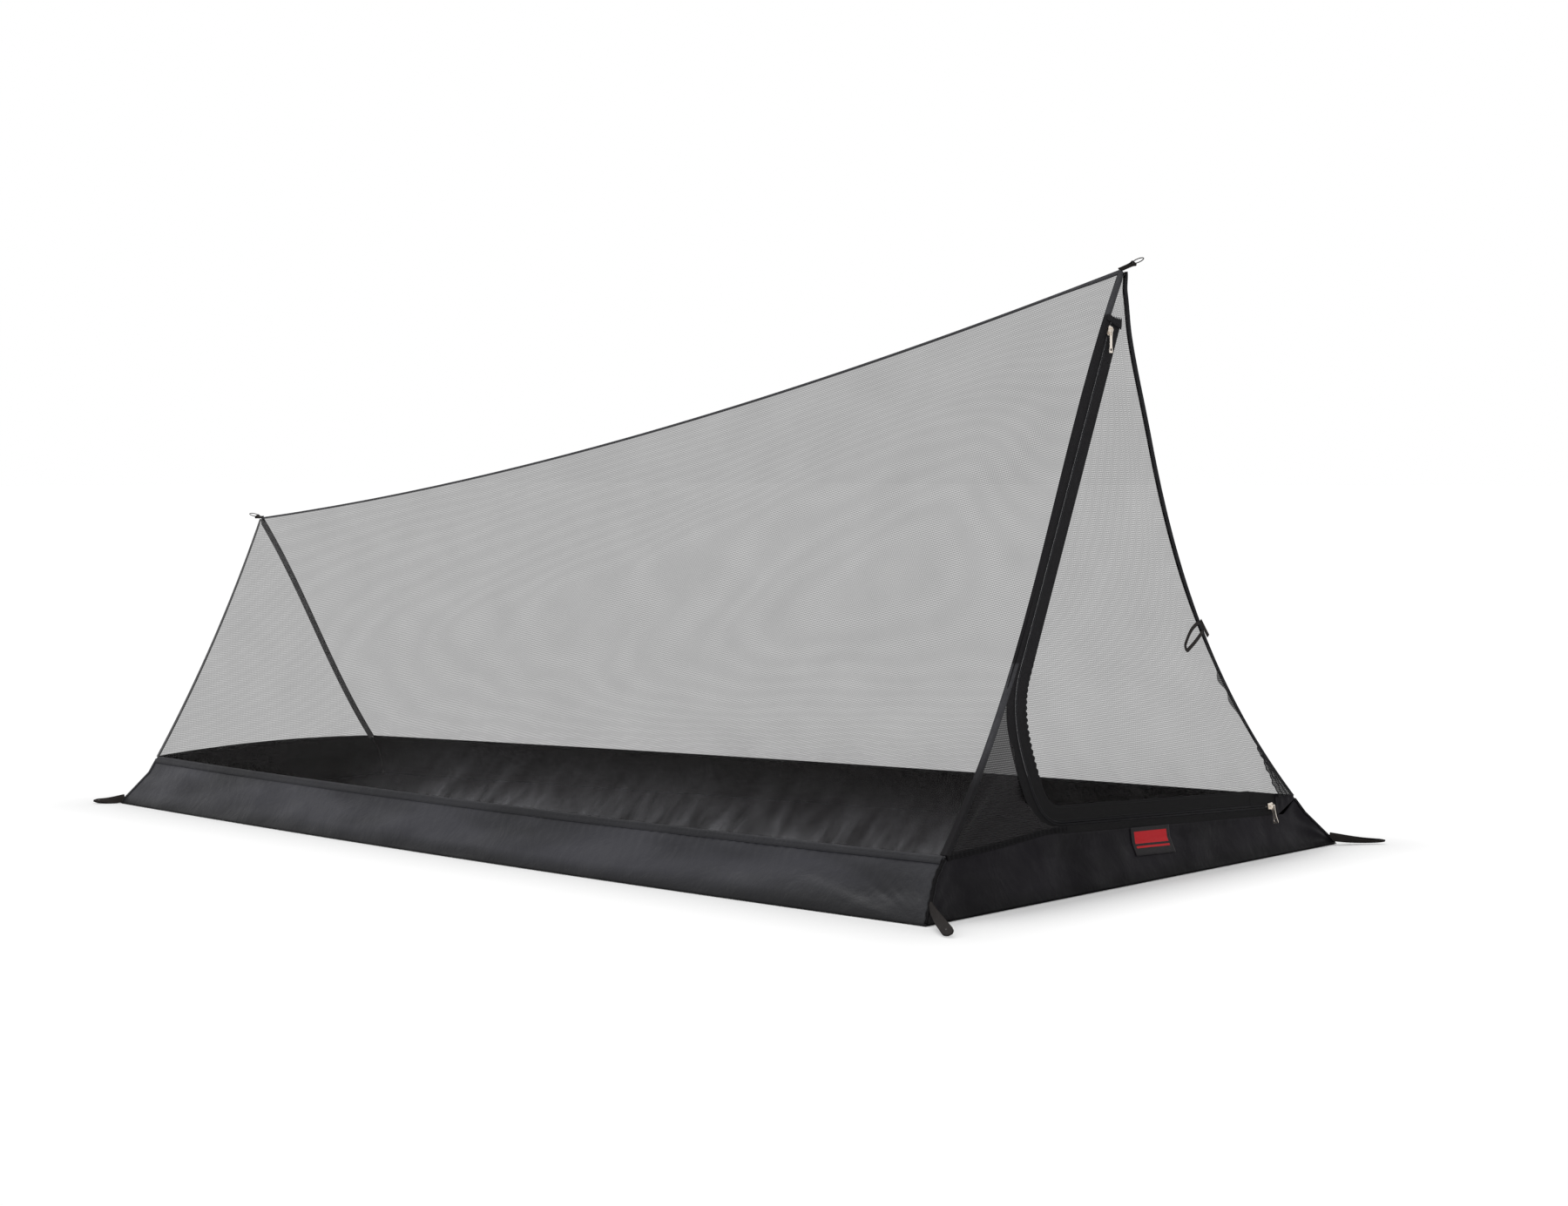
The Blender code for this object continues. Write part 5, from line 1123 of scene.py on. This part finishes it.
def build_zip():
    """Tapes, coils and edges of the zip."""
    door_top, door_end = CHAIN.at_height(ZIP_DOOR_TOP), CHAIN.at_x(DOOR_FOOT_X)
    end, head = CHAIN.total, -ZIP_HEAD_ROOM * 0.8
    s = np.linspace(head, end, 440)
    zip_tape("zip_tape_fixed", s, -CHAIN_GAP, -fixed_side(s), "tent", "zip_fixed_tape")
    s = np.linspace(head, door_top - CHAIN_GAP, 24)
    zip_tape("zip_tape_top", s, CHAIN_GAP, DOOR_SIDE, "tent", "zip_top_tape")
    s = np.linspace(door_end + CHAIN_GAP, end, 24)
    narrowing = DOOR_SIDE + (END_SIDE - DOOR_SIDE) * np.linspace(0, 1, 24)
    zip_tape("zip_tape_end", s, CHAIN_GAP, narrowing, "tent", "zip_end_tape")
    s = np.linspace(door_top, door_end - CHAIN_GAP, 900)
    z = CHAIN.place(s)[:, 1]
    ruffle = hump(z, 0.115, 0.24, 0.43) * (s < CHAIN.at_x(-0.15))
    far = DOOR_SIDE + 0.0004 + ruffle * (0.0046 * np.abs(np.sin(s * math.pi / 0.0115)) - 0.0008)
    zip_tape("zip_tape_door", s, CHAIN_GAP, far, "door", "door_zip_tape")
    room = 0.001
    for part, a, b, side, body in (("fixed", room, end - 2 * room, -1, "tent"),
                                   ("top", room, door_top - room, 1, "tent"),
                                   ("door", door_top + room, door_end - room, 1, "door"),
                                   ("end", door_end + room, end - 2 * room, 1, "tent")):
        coil(f"coil_{part}", a, b, side, body)
    room = 0.004
    for part, a, b, reach, body in (("fixed", room, end - room, -0.0052, "tent"),
                                    ("door", door_top + room, door_end - room, 0.0056, "door"),
                                    ("edge", door_top + room, door_end - room, 0.0240, "door")):
        s = np.linspace(a, b, 500)
        middle = CHAIN.at(s, np.full_like(s, reach), 0.0004)
        thread_row(f"zip_stitches_{part}", middle, panel_normal(middle[:, 2]), 0.0034, 0.0024, body, "zip")
    build_zip_head()


def build_zip_head():
    """Folded and pinked end of the tape above the zip's top."""
    low = 0.0027
    chain, aim = CHAIN.place(0.0), CHAIN.aim(0.0)
    left = -half_width(ZIP_TOP + 0.0130) - 0.0068
    right = chain[0] + aim[0] * DOOR_SIDE
    count = 8
    x = np.linspace(left, right, count * 2 + 1)
    share = (x - left) / (right - left)
    foot = chain[1] + (x - chain[0]) * aim[1] / aim[0] + 0.0009
    pink = np.where(np.arange(len(x)) % 2 == 1, 0.0042, 0.0) * smooth((share - 0.3) / 0.1)
    top = ZIP_TOP + 0.0150 - 0.0045 * share
    heights = (0, 0.05, 0.30, 0.55, 0.80, 1.0)
    puff = np.array([0.2, 0.9, 1.25, 1.0, 0.95, 0.35])
    rows = [foot + (top - pink * s - foot) * s for s in heights]
    upper = [on_panel(x, z, low + 0.0014 * p) for z, p in zip(rows, puff)]
    lower = [on_panel(x, z, low) for z in reversed(rows)]
    item = loft("zip_folded_end", np.stack(upper + lower, 1), MATERIALS["zip"])
    place(item, "tent", "zip", "zip_top_fold")
    line = np.linspace(left + 0.002, right - 0.002, 30)
    foot = chain[1] + (line - chain[0]) * aim[1] / aim[0]
    middle = on_panel(line, foot + 0.0045, low + 0.0016)
    thread_row("zip_folded_end_stitches", middle, panel_normal(middle[:, 2]), 0.0032, 0.0023, "tent", "zip")


# Front panel

def hinge_places():
    """Top and foot of the line about which the door folds, as (x, z)."""
    top = CHAIN.beside(CHAIN.at_height(ZIP_DOOR_TOP), DOOR_SIDE + 0.004)
    foot = CHAIN.beside(CHAIN.at_x(DOOR_FOOT_X), DOOR_SIDE + 0.0006)
    return top, foot


def curve_through(places):
    """Curve over shares through a polyline of (x, z) places."""
    length = path_length(places)
    return lambda t: read_off(t, length / length[-1], places)


def front_uv(places):
    """Flat place on the front panel."""
    return np.stack([places[..., 0], places[..., 1] * 1.03], -1)


def fan(places, root, rays, reach, height):
    """Folds that fan out from a point of a panel and fade away from it."""
    away = places - np.array(root)
    far = np.hypot(away[..., 0], away[..., 1])
    return np.sin(np.arctan2(away[..., 1], away[..., 0]) * rays) * np.exp(-far / reach) * height


def front_net_edges():
    """Edges of the door's net as (x, z) lines: left beside the zip, along the foot, and the right seam."""
    door_top, door_end = CHAIN.at_height(ZIP_DOOR_TOP), CHAIN.at_x(DOOR_FOOT_X)
    inset = 0.0012
    s = np.linspace(door_top, CHAIN.at_x(ZIP_FOOT[0]), 200)
    edge = CHAIN.beside(s, np.full_like(s, DOOR_SIDE - inset))
    corner = int(np.argmin(np.abs(edge[:, 0] - edge[:, 0].min() * 0.62) + np.abs(edge[:, 1] - 0.150)))
    s_foot = np.linspace(CHAIN.at_x(ZIP_FOOT[0]), CHAIN.total, 120)
    past_door = (s_foot - door_end) / (CHAIN.total - door_end)
    width = np.where(s_foot < door_end, DOOR_SIDE, DOOR_SIDE + (END_SIDE - DOOR_SIDE) * past_door)
    patch_z = (CHAIN.beside(CHAIN.total, END_SIDE)[1] + WALL_HEIGHT) / 2
    z_right = np.linspace(ZIP_DOOR_TOP, patch_z, 120)
    right = np.stack([half_width(z_right) - NET_INSET, z_right], -1)
    foot = np.concatenate([edge[corner:], CHAIN.beside(s_foot, width - inset)[1:], right[-1:]])
    return edge[:corner + 1], foot, right


def build_front_net():
    """Net round and on the door: one sheet over the door and round it, and a fixed head."""
    left, foot, right = front_net_edges()
    top = np.stack([np.linspace(left[0, 0], right[0, 0], 8), np.linspace(left[0, 1], right[0, 1], 8)], -1)
    v, u = shares(150, 110)
    places = coons(curve_through(top), curve_through(foot), curve_through(left), curve_through(right))(u, v)
    calm = smooth(np.minimum(rim(u) * 0.45 / 0.05, rim(v) * 0.7 / 0.05))
    hinge_top, hinge_foot = hinge_places()
    along = unit(hinge_foot - hinge_top)
    away = (places - hinge_top) @ np.array((along[1], -along[0]))
    door_part = smooth(np.abs(away) / 0.05)
    run = places @ np.array((0.86, 0.50))
    fold = 0.0050 * np.sin(2 * math.pi * run / 0.150) * np.where(away > 0, 1, 0.3) * door_part
    by_tie = fan(places, (0.30, 0.385), 16, 0.10, 0.0014)
    by_foot = fan(places, (0.50, 0.10), 22, 0.10, 0.0022)
    in_plane = np.stack([places[..., 0], places[..., 1], 0 * places[..., 0]], -1)
    lift = (fold + by_tie + by_foot + ripple(in_plane, 0.10, 31) * 0.0010) * calm
    places[..., 0] += top_lean(places[..., 1]) * u
    points = on_panel(places[..., 0], places[..., 1], lift)
    sheet = grid_sheet("net_sheet_front", points, front_uv(places), MATERIALS["net"])
    across = np.array((-along[1], along[0]))
    middle = (hinge_top + hinge_foot) / 2
    if across[0] > 0:
        across = -across
    start, end = (on_panel(*(middle + across * reach)) for reach in (-0.004, 0.014))
    declare(sheet)
    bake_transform(sheet)
    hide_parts("door_net", "front_net")

    build_head(left[0], right[0])


def build_head(left, right):
    """Net above the door, down to the top line of the sheet on the door."""
    rows, columns = 60, 24
    v, u = shares(rows, columns)
    top = PEAK_HEIGHT[FRONT] - 0.004
    slope = (right[1] - left[1]) / (right[0] - left[0])
    x = np.zeros((rows, columns))
    for _ in range(4):
        z = top + (left[1] + (x - left[0]) * slope - top) * v
        x = (2 * u - 1) * (half_width(z) - NET_INSET)
    x = x + top_lean(z) * u
    behind = smooth((CHAIN.edge_x(z) - x) / 0.004)
    fold = 0.0016 * np.sin(u * 16) * hump(v, 0.0, 0.3, 0.9) * (1 - behind)
    head, _ = panel_net("net_sheet_head", x, z, fold - 0.0015 * behind, "net")
    declare(head)


def gusset_foot(x):
    """Height of the felled seam over the front wall."""
    xs = np.array([-0.5146, -0.366, -0.247, -0.150, 0.10, 0.45, 0.5146])
    zs = np.array([0.087, 0.093, 0.101, 0.1010, 0.0850, 0.0625, 0.0600])
    return np.interp(x, xs, zs)


def zip_foot_edge(x):
    """Height of the lower edge of the fixed zip tape above an x, beyond the corner."""
    s = np.linspace(CHAIN.at_x(ZIP_FOOT[0]) - 0.09, CHAIN.total, 300)
    edge = CHAIN.beside(s, -fixed_side(s))
    order = np.argsort(edge[:, 0])
    return np.interp(x, edge[order, 0], edge[order, 1])


def build_gusset():
    """Dense net between the turn of the zip, the left seam and the front wall, with folds from the corner."""
    s = np.linspace(CHAIN.at_height(0.37), CHAIN.at_x(ZIP_FOOT[0]) + 0.02, 160)
    edge = CHAIN.beside(s, -0.0030 - 0.0070 * smooth((CHAIN.place(s)[:, 1] - 0.325) / 0.02))
    high, corner_x = edge[0, 1], -WALL_TOP_WIDTH[FRONT] / 2
    z_left = np.linspace(high, WALL_HEIGHT, 60)
    left = np.stack([-half_width(z_left) + NET_INSET, z_left], -1)
    foot_x = np.linspace(corner_x + NET_INSET, edge[-1, 0], 60)
    near_zip = smooth((np.linspace(0, 1, 60) - 0.8) / 0.2)
    foot = np.stack([foot_x, gusset_foot(foot_x) * (1 - near_zip) + edge[-1, 1] * near_zip], -1)
    head = np.stack([np.linspace(-half_width(high) + NET_INSET, edge[0, 0], 4), np.full(4, high)], -1)
    v, u = shares(80, 60)
    places = coons(curve_through(head), curve_through(foot), curve_through(left), curve_through(edge))(u, v)
    away = places - np.array((corner_x, WALL_HEIGHT))
    turn = np.arctan2(away[..., 1], away[..., 0])
    far = np.hypot(away[..., 0], away[..., 1])
    calm = smooth(np.minimum(rim(u), rim(v)) / 0.10)
    width = np.linalg.norm(places[:, -1:] - places[:, :1], axis=-1)
    under = smooth((fixed_side(s).mean() + 0.001 - (1 - u) * width) / 0.003)
    lift = (0.0036 * np.sin(13 * turn) + 0.0012 * np.sin(31 * turn + 1)) * calm * smooth(far / 0.10)
    lift = lift * (1 - under) - 0.0012 * under
    points = on_panel(places[..., 0], places[..., 1], lift)
    sheet = grid_sheet("gusset_sheet", points, front_uv(places), MATERIALS["gusset"])
    place(sheet, "tent", "net", "front_gusset")
    declare(sheet)


def build_front_wall():
    """Front wall with its felled seam, the bare label and the patch beyond the zip's end."""
    half, half_top = GROUND_WIDTH[FRONT] / 2, WALL_TOP_WIDTH[FRONT] / 2
    t, s = shares(30, 300, -1)
    x_top = s * WALL_TOP_WIDTH[FRONT] / 2
    under_zip = np.where(x_top > ZIP_FOOT[0] - 0.01, zip_foot_edge(x_top), 1.0)
    past = np.clip((x_top - ZIP_END[0]) / (half_top - ZIP_END[0]), 0, 1)
    upper = np.minimum(gusset_foot(x_top), under_zip) * (1 - past) + (WALL_HEIGHT - 0.0006) * past
    z = upper * (1 - t) + 0.001 * t
    x = x_top + s * (half_width(z) - half_top)
    off = smooth((1 - np.abs(s)) / 0.06) * smooth(t / 0.15) * smooth((1 - t) / 0.10)
    pulls = fan(np.stack([x, z], -1), (-half, 0), 20, 0.12, 0.0020)
    pulls = pulls + fan(np.stack([-x, z], -1), (-half, 0), 18, 0.14, 0.0020)
    tuck = np.sin(x * 2 * math.pi / 0.047 + 2 * np.sin(x * 23)) * np.exp(-t / 0.25) * 0.00022
    waves = ripple(on_panel(x, z) * np.array((0.55, 1, 1)), 0.085, 41) * 0.0026
    calm = smooth(np.abs(x - 0.043) / 0.04 - 1.6) * smooth(np.abs(x - 0.428) / 0.03 - 0.5)
    points = on_panel(x, z, (waves + pulls + tuck) * off * (0.15 + 0.85 * calm))
    # The front wall takes the wall's cloth painted darker, as painted shade.
    wall = grid_sheet("wall_sheet_front", points, np.stack([x, z], -1), MATERIALS["front_wall"], CLOTH_THICK)
    place(wall, "tent", "wall", "wall_front")
    x = np.linspace(-0.510, -0.1900, 136)
    seam_band("felled_seam_front", x, gusset_foot(x), (0.0045, 0.0045), FRONT, "front_band_painted_shade", [],
              0.0007, 0.0010)
    declare(wall)
    build_end_patch()
    build_label()


def build_end_patch():
    """Sewn patch between the zip's closed end and the right seam."""
    end = CHAIN.total
    foot, head = CHAIN.beside(end, -fixed_side(end)), CHAIN.beside(end, END_SIDE)
    t, s = shares(14, 30)
    z_right = (head[1] + WALL_HEIGHT) / 2 * (1 - t) + (WALL_HEIGHT + 0.0003) * t
    left = head * (1 - t[..., None]) + foot * t[..., None]
    right = np.stack([half_width(z_right) - 0.0006, z_right], -1)
    places = left * (1 - s[..., None]) + right * s[..., None] - np.array((0, 0.0012)) * t[..., None]
    lift = 0.0008 + 0.0004 * np.sin(places[..., 0] * 300) * hump(t, 0, 0.5, 1)
    points = on_panel(places[..., 0], places[..., 1], lift)
    # The patch takes the front wall's cloth with its painted shade.
    patch = grid_sheet("zip_end_cloth", points, places.copy(), MATERIALS["front_wall"], ZIP_THICK)
    place(patch, "tent", "tape", "zip_end_patch")


def build_label():
    """Bare woven label sewn on the front wall."""
    half, slope = 0.0225, -0.040
    x = np.linspace(-0.0140, 0.1000, 60)[None, :]
    down = np.linspace(-half, half, 24)[:, None]
    z = 0.0620 + (x - x[0, 0]) * slope - down
    x = x + down * slope
    lift = 0.0016 + 0.0003 * np.sin(x * 60)
    points = on_panel(x, z, lift)
    uvs = np.stack([x - x[:, :1], half - down + 0 * x], -1)
    cloth = label_material(half, float(np.ptp(x[0])))
    label = grid_sheet("plain_woven_label", points, uvs, cloth, 0.0008)
    place(label, "tent", "wall")
    for k, row in enumerate((1, 22)):
        middle = on_panel(x[row], z[row], lift[row] + 0.0004)
        thread_row(f"label_stitches_{k}", middle, panel_normal(z[row]), 0.0030, 0.0021, "tent", "wall")


# Webbing and fittings

def rounded_strap(name, spine, width, thickness, across, node):
    """Flat webbing along a spine, with rounded edges; across is its width's way."""
    along = unit(np.gradient(spine, axis=0))
    across = np.broadcast_to(across, spine.shape)
    out = unit(np.cross(along, across))
    item = ribbon(name, spine, across, out, width / 2, width / 2, thickness, -thickness / 2,
                  MATERIALS["webbing"])
    place(item, "tent", "webbing", node)


def build_stake_loop(side, end, name):
    """Webbing doubled into a flat loop that twists from its root to the ground, with tacks near its tip."""
    near = (side, end) == (LEFT, FRONT)
    aim = unit(np.array((-0.56, -0.83, 0) if near else (side * STAKE_AIM[end][0], STAKE_AIM[end][1], 0)))
    flat = np.array((-aim[1], aim[0], 0)) * side * end
    up = np.array((0, 0, 1.0))
    ground = ground_corner(side, end)
    share = STAKE_LENGTH[end] / STAKE_LENGTH[FRONT]
    width, thick = 0.0100 + (0.0090 if side == LEFT else 0.0050) * share, 0.0015
    t = np.linspace(0, 1, 50)
    high = STAKE_RISE[end] * (0.95 if near else 0.50)
    root = corner_edge(side, end)(1 - high / WALL_HEIGHT)
    tip = ground + aim * (STAKE_LENGTH[end] + (0.0180 if near else -0.0030)) + up * 0.0046
    line = root + (tip - root) * t[:, None] - up * (0.0022 * np.sin(math.pi * t))[:, None]
    turn = np.radians(78 - 50 * smooth(t * 1.1))
    across = flat * np.cos(turn)[:, None] + up * np.sin(turn)[:, None]
    along = unit(np.gradient(line, axis=0))
    across = unit(across - along * np.sum(across * along, -1, keepdims=True))
    out = np.cross(along, across)
    gap = (thick / 2 + 0.0002 + 0.0010 * np.sin(math.pi * t ** 2))[:, None]
    bend = np.linspace(0, math.pi, 14)[1:-1][:, None]
    fold = line[-1] + out[-1] * np.cos(bend) * gap[-1] + along[-1] * np.sin(bend) * gap[-1] * 2.2
    spine = np.concatenate([line + out * gap, fold, (line - out * gap)[::-1]])
    widths = np.concatenate([across, np.tile(across[-1], (len(fold), 1)), across[::-1]])
    outs = unit(np.cross(np.gradient(spine, axis=0), widths))
    narrow = width / 2 * (0.72 + 0.22 * smooth(t) if near else 1 - 0.28 * smooth(t))
    narrow = narrow * np.sqrt(1 - 0.78 * np.clip((t - 0.86) / 0.14, 0, 1) ** 2)
    half = np.concatenate([narrow, np.full(len(fold), narrow[-1]), narrow[::-1]])
    item = ribbon(f"stake_webbing_{name}", spine, widths, outs, half, half, thick, -thick / 2,
                  MATERIALS["webbing"])
    place(item, "tent", "webbing", f"stake_loop_{name}")
    k, reach = 42, 0.0016
    for sign, part in ((1, "upper"), (-1, "lower")):
        spot = line[k] + out[k] * sign * float(gap[k, 0] + thick / 2)
        tack(f"stake_tack_{name}_{part}", (spot - across[k] * reach, spot + across[k] * reach), across[k],
             along[k], out[k] * sign, 0.0022, 0.0020)


def build_tab(end, name):
    """Webbing tab folded round its ring, with a pale tack at its root."""
    tab_eye = peak(end) + np.array((0, end * TAB_REACH[end], TAB_RISE[end]))
    way = unit(tab_eye - peak(end))
    up = np.array((0, -way[2] * end, way[1] * end))
    radius = 0.0036 / 2 + 0.0006
    t = np.linspace(0.0022, 0.0, 6)
    base = ridge(1 - t) if end == FRONT else ridge(t)
    ridge_way = unit(base[-1] - base[0])
    off = np.array((0, -ridge_way[2] * end, ridge_way[1] * end))
    upper = [b + off * 0.0034 for b in base]
    lower = [b + off * 0.0022 for b in base]
    neck_top = tab_eye - way * 0.006 + up * 0.0011
    neck_low = tab_eye - way * 0.006 - up * 0.0001
    arc = [tab_eye + way * radius * math.cos(a) + up * radius * math.sin(a)
           for a in np.linspace(2.3, -2.3, 15)]
    spine = np.array(upper + [neck_top] + arc + [neck_low] + lower[::-1])
    dense = read_off(np.linspace(0, 1, 120), np.linspace(0, 1, len(spine)), spine)
    for _ in range(2):
        dense[1:-1] = (dense[:-2] + 2 * dense[1:-1] + dense[2:]) / 4
    lean = math.radians(TAB_ROLL) * end
    across = np.array((math.cos(lean), 0, 0)) + up * math.sin(lean)
    rounded_strap(f"{name}_tab_webbing", dense, 0.0080, 0.0010, across, f"{name}_tab")
    root, half = peak(end) + way * 0.002 + up * 0.0046, np.array((0.0042, 0, 0))
    tack(f"{name}_tab_tack", (root - half, root + half), np.array((1.0, 0, 0)), way, up, 0.0014, 0.0013)


def build_tie():
    """Soft webbing loop on the right seam, and its cut end beyond the seam."""
    lift = 0.0006 / 2 + 0.0006 + 0.0010 + 0.0003 + 0.0007
    z = np.array((TIE_TOP_Z, TIE_FOOT_Z))
    top, foot = on_panel(half_width(z) - 0.0032, z, lift)
    middle = (top + foot) / 2
    flat = on_panel(middle[0], middle[2])
    tip = on_panel(middle[0] - TIE_REACH, middle[2] - TIE_DROP, float(np.linalg.norm(middle - flat)) + 0.005)
    seam_way = unit(foot - top)
    way = unit(tip - middle)
    out = unit(np.cross(way, seam_way))
    out = out if out[1] < 0 else -out
    side = unit(seam_way - way * float(seam_way @ way))
    reach = float(np.linalg.norm(tip - middle))
    half = float(np.linalg.norm(top - foot)) / 2
    t = np.linspace(0, 1, 50)
    upper_a = reach * 0.93 * t
    upper_b = -(half - 0.0035) * (1 - t) - 0.0062 * t - 0.0060 * np.sin(math.pi * t)
    turn = np.linspace(-math.pi / 2, math.pi / 2, 24)
    tip_a = reach * 0.93 + 0.0040 * np.cos(turn)
    tip_b = 0.0058 * np.sin(turn)
    lower_a, lower_b = upper_a[::-1], (half - 0.0035) * t + 0.0062 * (1 - t) + 0.0010 * np.sin(math.pi * t)
    a = np.concatenate([upper_a, tip_a[1:-1], lower_a])
    b = np.concatenate([upper_b, tip_b[1:-1], lower_b])
    sag = 0.0004 * np.sin(a / reach * math.pi)
    spine = middle + way * a[:, None] + side * b[:, None] + out * sag[:, None]
    along = unit(np.gradient(spine, axis=0))
    flat_way = unit(np.cross(np.broadcast_to(out, along.shape), along))
    item = ribbon("tie_loop_webbing", spine, flat_way, np.broadcast_to(out, along.shape), 0.0036, 0.0036,
                  0.0013, -0.00065, MATERIALS["webbing"])
    place(item, "tie_back", "webbing", "tie_loop")

    x = float(half_width(TIE_TOP_Z)) + 0.0032 + 0.004
    run = unit(np.array((0.72, -1.0)))
    across = np.array((-run[1], run[0]))
    share = np.linspace(0, 1, 24)
    places = np.array((x, TIE_TOP_Z)) + run * 0.034 * share[:, None]
    lift = 0.0014 * share + 0.0002
    spine, beside = (on_panel(*(places + across * step).T, lift) for step in (0.0, 0.001))
    item = ribbon("tie_end_webbing", spine, unit(beside - spine), panel_normal(places[:, 1]), 0.0040, 0.0040,
                  0.0014, -0.0007, MATERIALS["webbing"])
    place(item, "tent", "webbing", "tie_end")


def dress_fittings():
    """Plated metal on the solids that stay."""
    for node, key in (("top_slider", "slider"), ("foot_slider", "slider"), ("top_pull", "pull"),
                      ("foot_pull", "pull"), ("front_ring", "ring"), ("rear_ring", "ring")):
        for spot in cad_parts[node].material_slots:
            spot.material = MATERIALS[key]


# Stage

def ground_material():
    """White ground: a soft shadow near the tent, and a plain white glow for the camera away from it."""
    m = Nodes("pale_ground", (0.90, 0.90, 0.90), 0.95)
    m.shader.inputs["Specular IOR Level"].default_value = 0.05
    x, y, _ = m.split(m.coords("Object"))
    taper = (GROUND_WIDTH[REAR] - GROUND_WIDTH[FRONT]) / 2 / LENGTH
    half = m.math("MULTIPLY_ADD", y, taper, (GROUND_WIDTH[REAR] + GROUND_WIDTH[FRONT]) / 4)
    aside = m.math("MAXIMUM", m.math("SUBTRACT", m.math("ABSOLUTE", x), half), 0.0)
    ahead = m.math("MAXIMUM", m.math("SUBTRACT", m.math("ABSOLUTE", y), LENGTH / 2), 0.0)
    away = m.math("SQRT", m.math("ADD", m.math("MULTIPLY", aside, aside), m.math("MULTIPLY", ahead, ahead)))
    fade = m.ramp(away, 0.015, 0.17)
    rays = m.tree.nodes.new("ShaderNodeLightPath")
    seen = m.math("MULTIPLY", rays.outputs["Is Camera Ray"], fade)
    m.set("Base Color", m.mix(seen, (0.90, 0.90, 0.90), (0.0, 0.0, 0.0)))
    m.shader.inputs["Emission Color"].default_value = (1, 1, 1, 1)
    near_glow = m.math("MULTIPLY", rays.outputs["Is Camera Ray"], 0.04)
    m.set("Emission Strength", m.math("MAXIMUM", seen, near_glow))
    return m.material


def build_stage():
    """Pale floor and background, soft light and the camera."""
    scene = bpy.context.scene
    scene.view_settings.view_transform = "Standard"
    world = bpy.data.worlds.new("soft_studio")
    scene.world = world
    world.use_nodes = True
    tree = world.node_tree
    back = tree.nodes["Background"]
    back.inputs["Color"].default_value = (1, 1, 1, 1)
    rays = tree.nodes.new("ShaderNodeLightPath")
    bright = tree.nodes.new("ShaderNodeMath")
    bright.operation = "MAXIMUM"
    tree.links.new(rays.outputs["Is Camera Ray"], bright.inputs[0])
    tree.links.new(rays.outputs["Is Glossy Ray"], bright.inputs[1])
    level = tree.nodes.new("ShaderNodeMapRange")
    tree.links.new(bright.outputs[0], level.inputs[0])
    level.inputs[3].default_value = 0.74
    level.inputs[4].default_value = 1.0
    tree.links.new(level.outputs[0], back.inputs["Strength"])

    mesh = bpy.data.meshes.new("ground")
    size, level_z = 60.0, -0.0012
    corners = [(x * size, y * size, level_z) for x, y in ((-1, -1), (1, -1), (1, 1), (-1, 1))]
    mesh.from_pydata(corners, [], [(0, 1, 2, 3)])
    ground = bpy.data.objects.new("ground", mesh)
    scene.collection.objects.link(ground)
    mesh.materials.append(ground_material())

    for name, place_at, size, power, target in (
            ("top", (1.2, 1.0, 3.4), 2.6, 44.0, (0, 0, 0)),
            ("side", (-3.4, 0.4, 1.8), 2.0, 16.0, (0, 0, 0.2)),
            ("front", (-1.2, -4.2, 2.6), 2.0, 8.0, (0, -0.6, 0.3))):
        light = bpy.data.lights.new(name, "AREA")
        light.size = size
        light.energy = power
        lamp = bpy.data.objects.new(name, light)
        scene.collection.objects.link(lamp)
        lamp.location = place_at
        lamp.rotation_euler = (Vector(target) - Vector(place_at)).to_track_quat("-Z", "Y").to_euler()

    yaw, pitch, roll = 0.8782, -0.0483, -0.0019
    eye = Vector((-4.0833, -3.7172, 0.6844))
    sensor, focal_px, photo_px = 36.0, 3432.9, 1800
    forward = Vector((math.sin(yaw) * math.cos(pitch), math.cos(yaw) * math.cos(pitch), math.sin(pitch)))
    right = forward.cross(Vector((0, 0, 1))).normalized()
    up = right.cross(forward)
    turned = right * math.cos(roll) + up * math.sin(roll), up * math.cos(roll) - right * math.sin(roll)
    matrix = Matrix((turned[0], turned[1], -forward)).transposed().to_4x4()
    matrix.translation = eye
    lens = bpy.data.cameras.new("view")
    lens.sensor_fit = "HORIZONTAL"
    lens.sensor_width = sensor
    lens.lens = sensor * focal_px / photo_px
    camera = bpy.data.objects.new("view", lens)
    scene.collection.objects.link(camera)
    camera.matrix_world = matrix
    scene.camera = camera


build_stage()
build_floor()
for side, name in SIDES:
    build_side(side, name)
build_bindings()
build_corner_seams()
build_rear()
build_zip()
build_front_net()
build_gusset()
build_front_wall()
build_gathers()
for end, end_name in ENDS:
    build_tab(end, end_name)
    for side, name in SIDES:
        build_stake_loop(side, end, f"{end_name}_{name}")
build_tie()
dress_fittings()
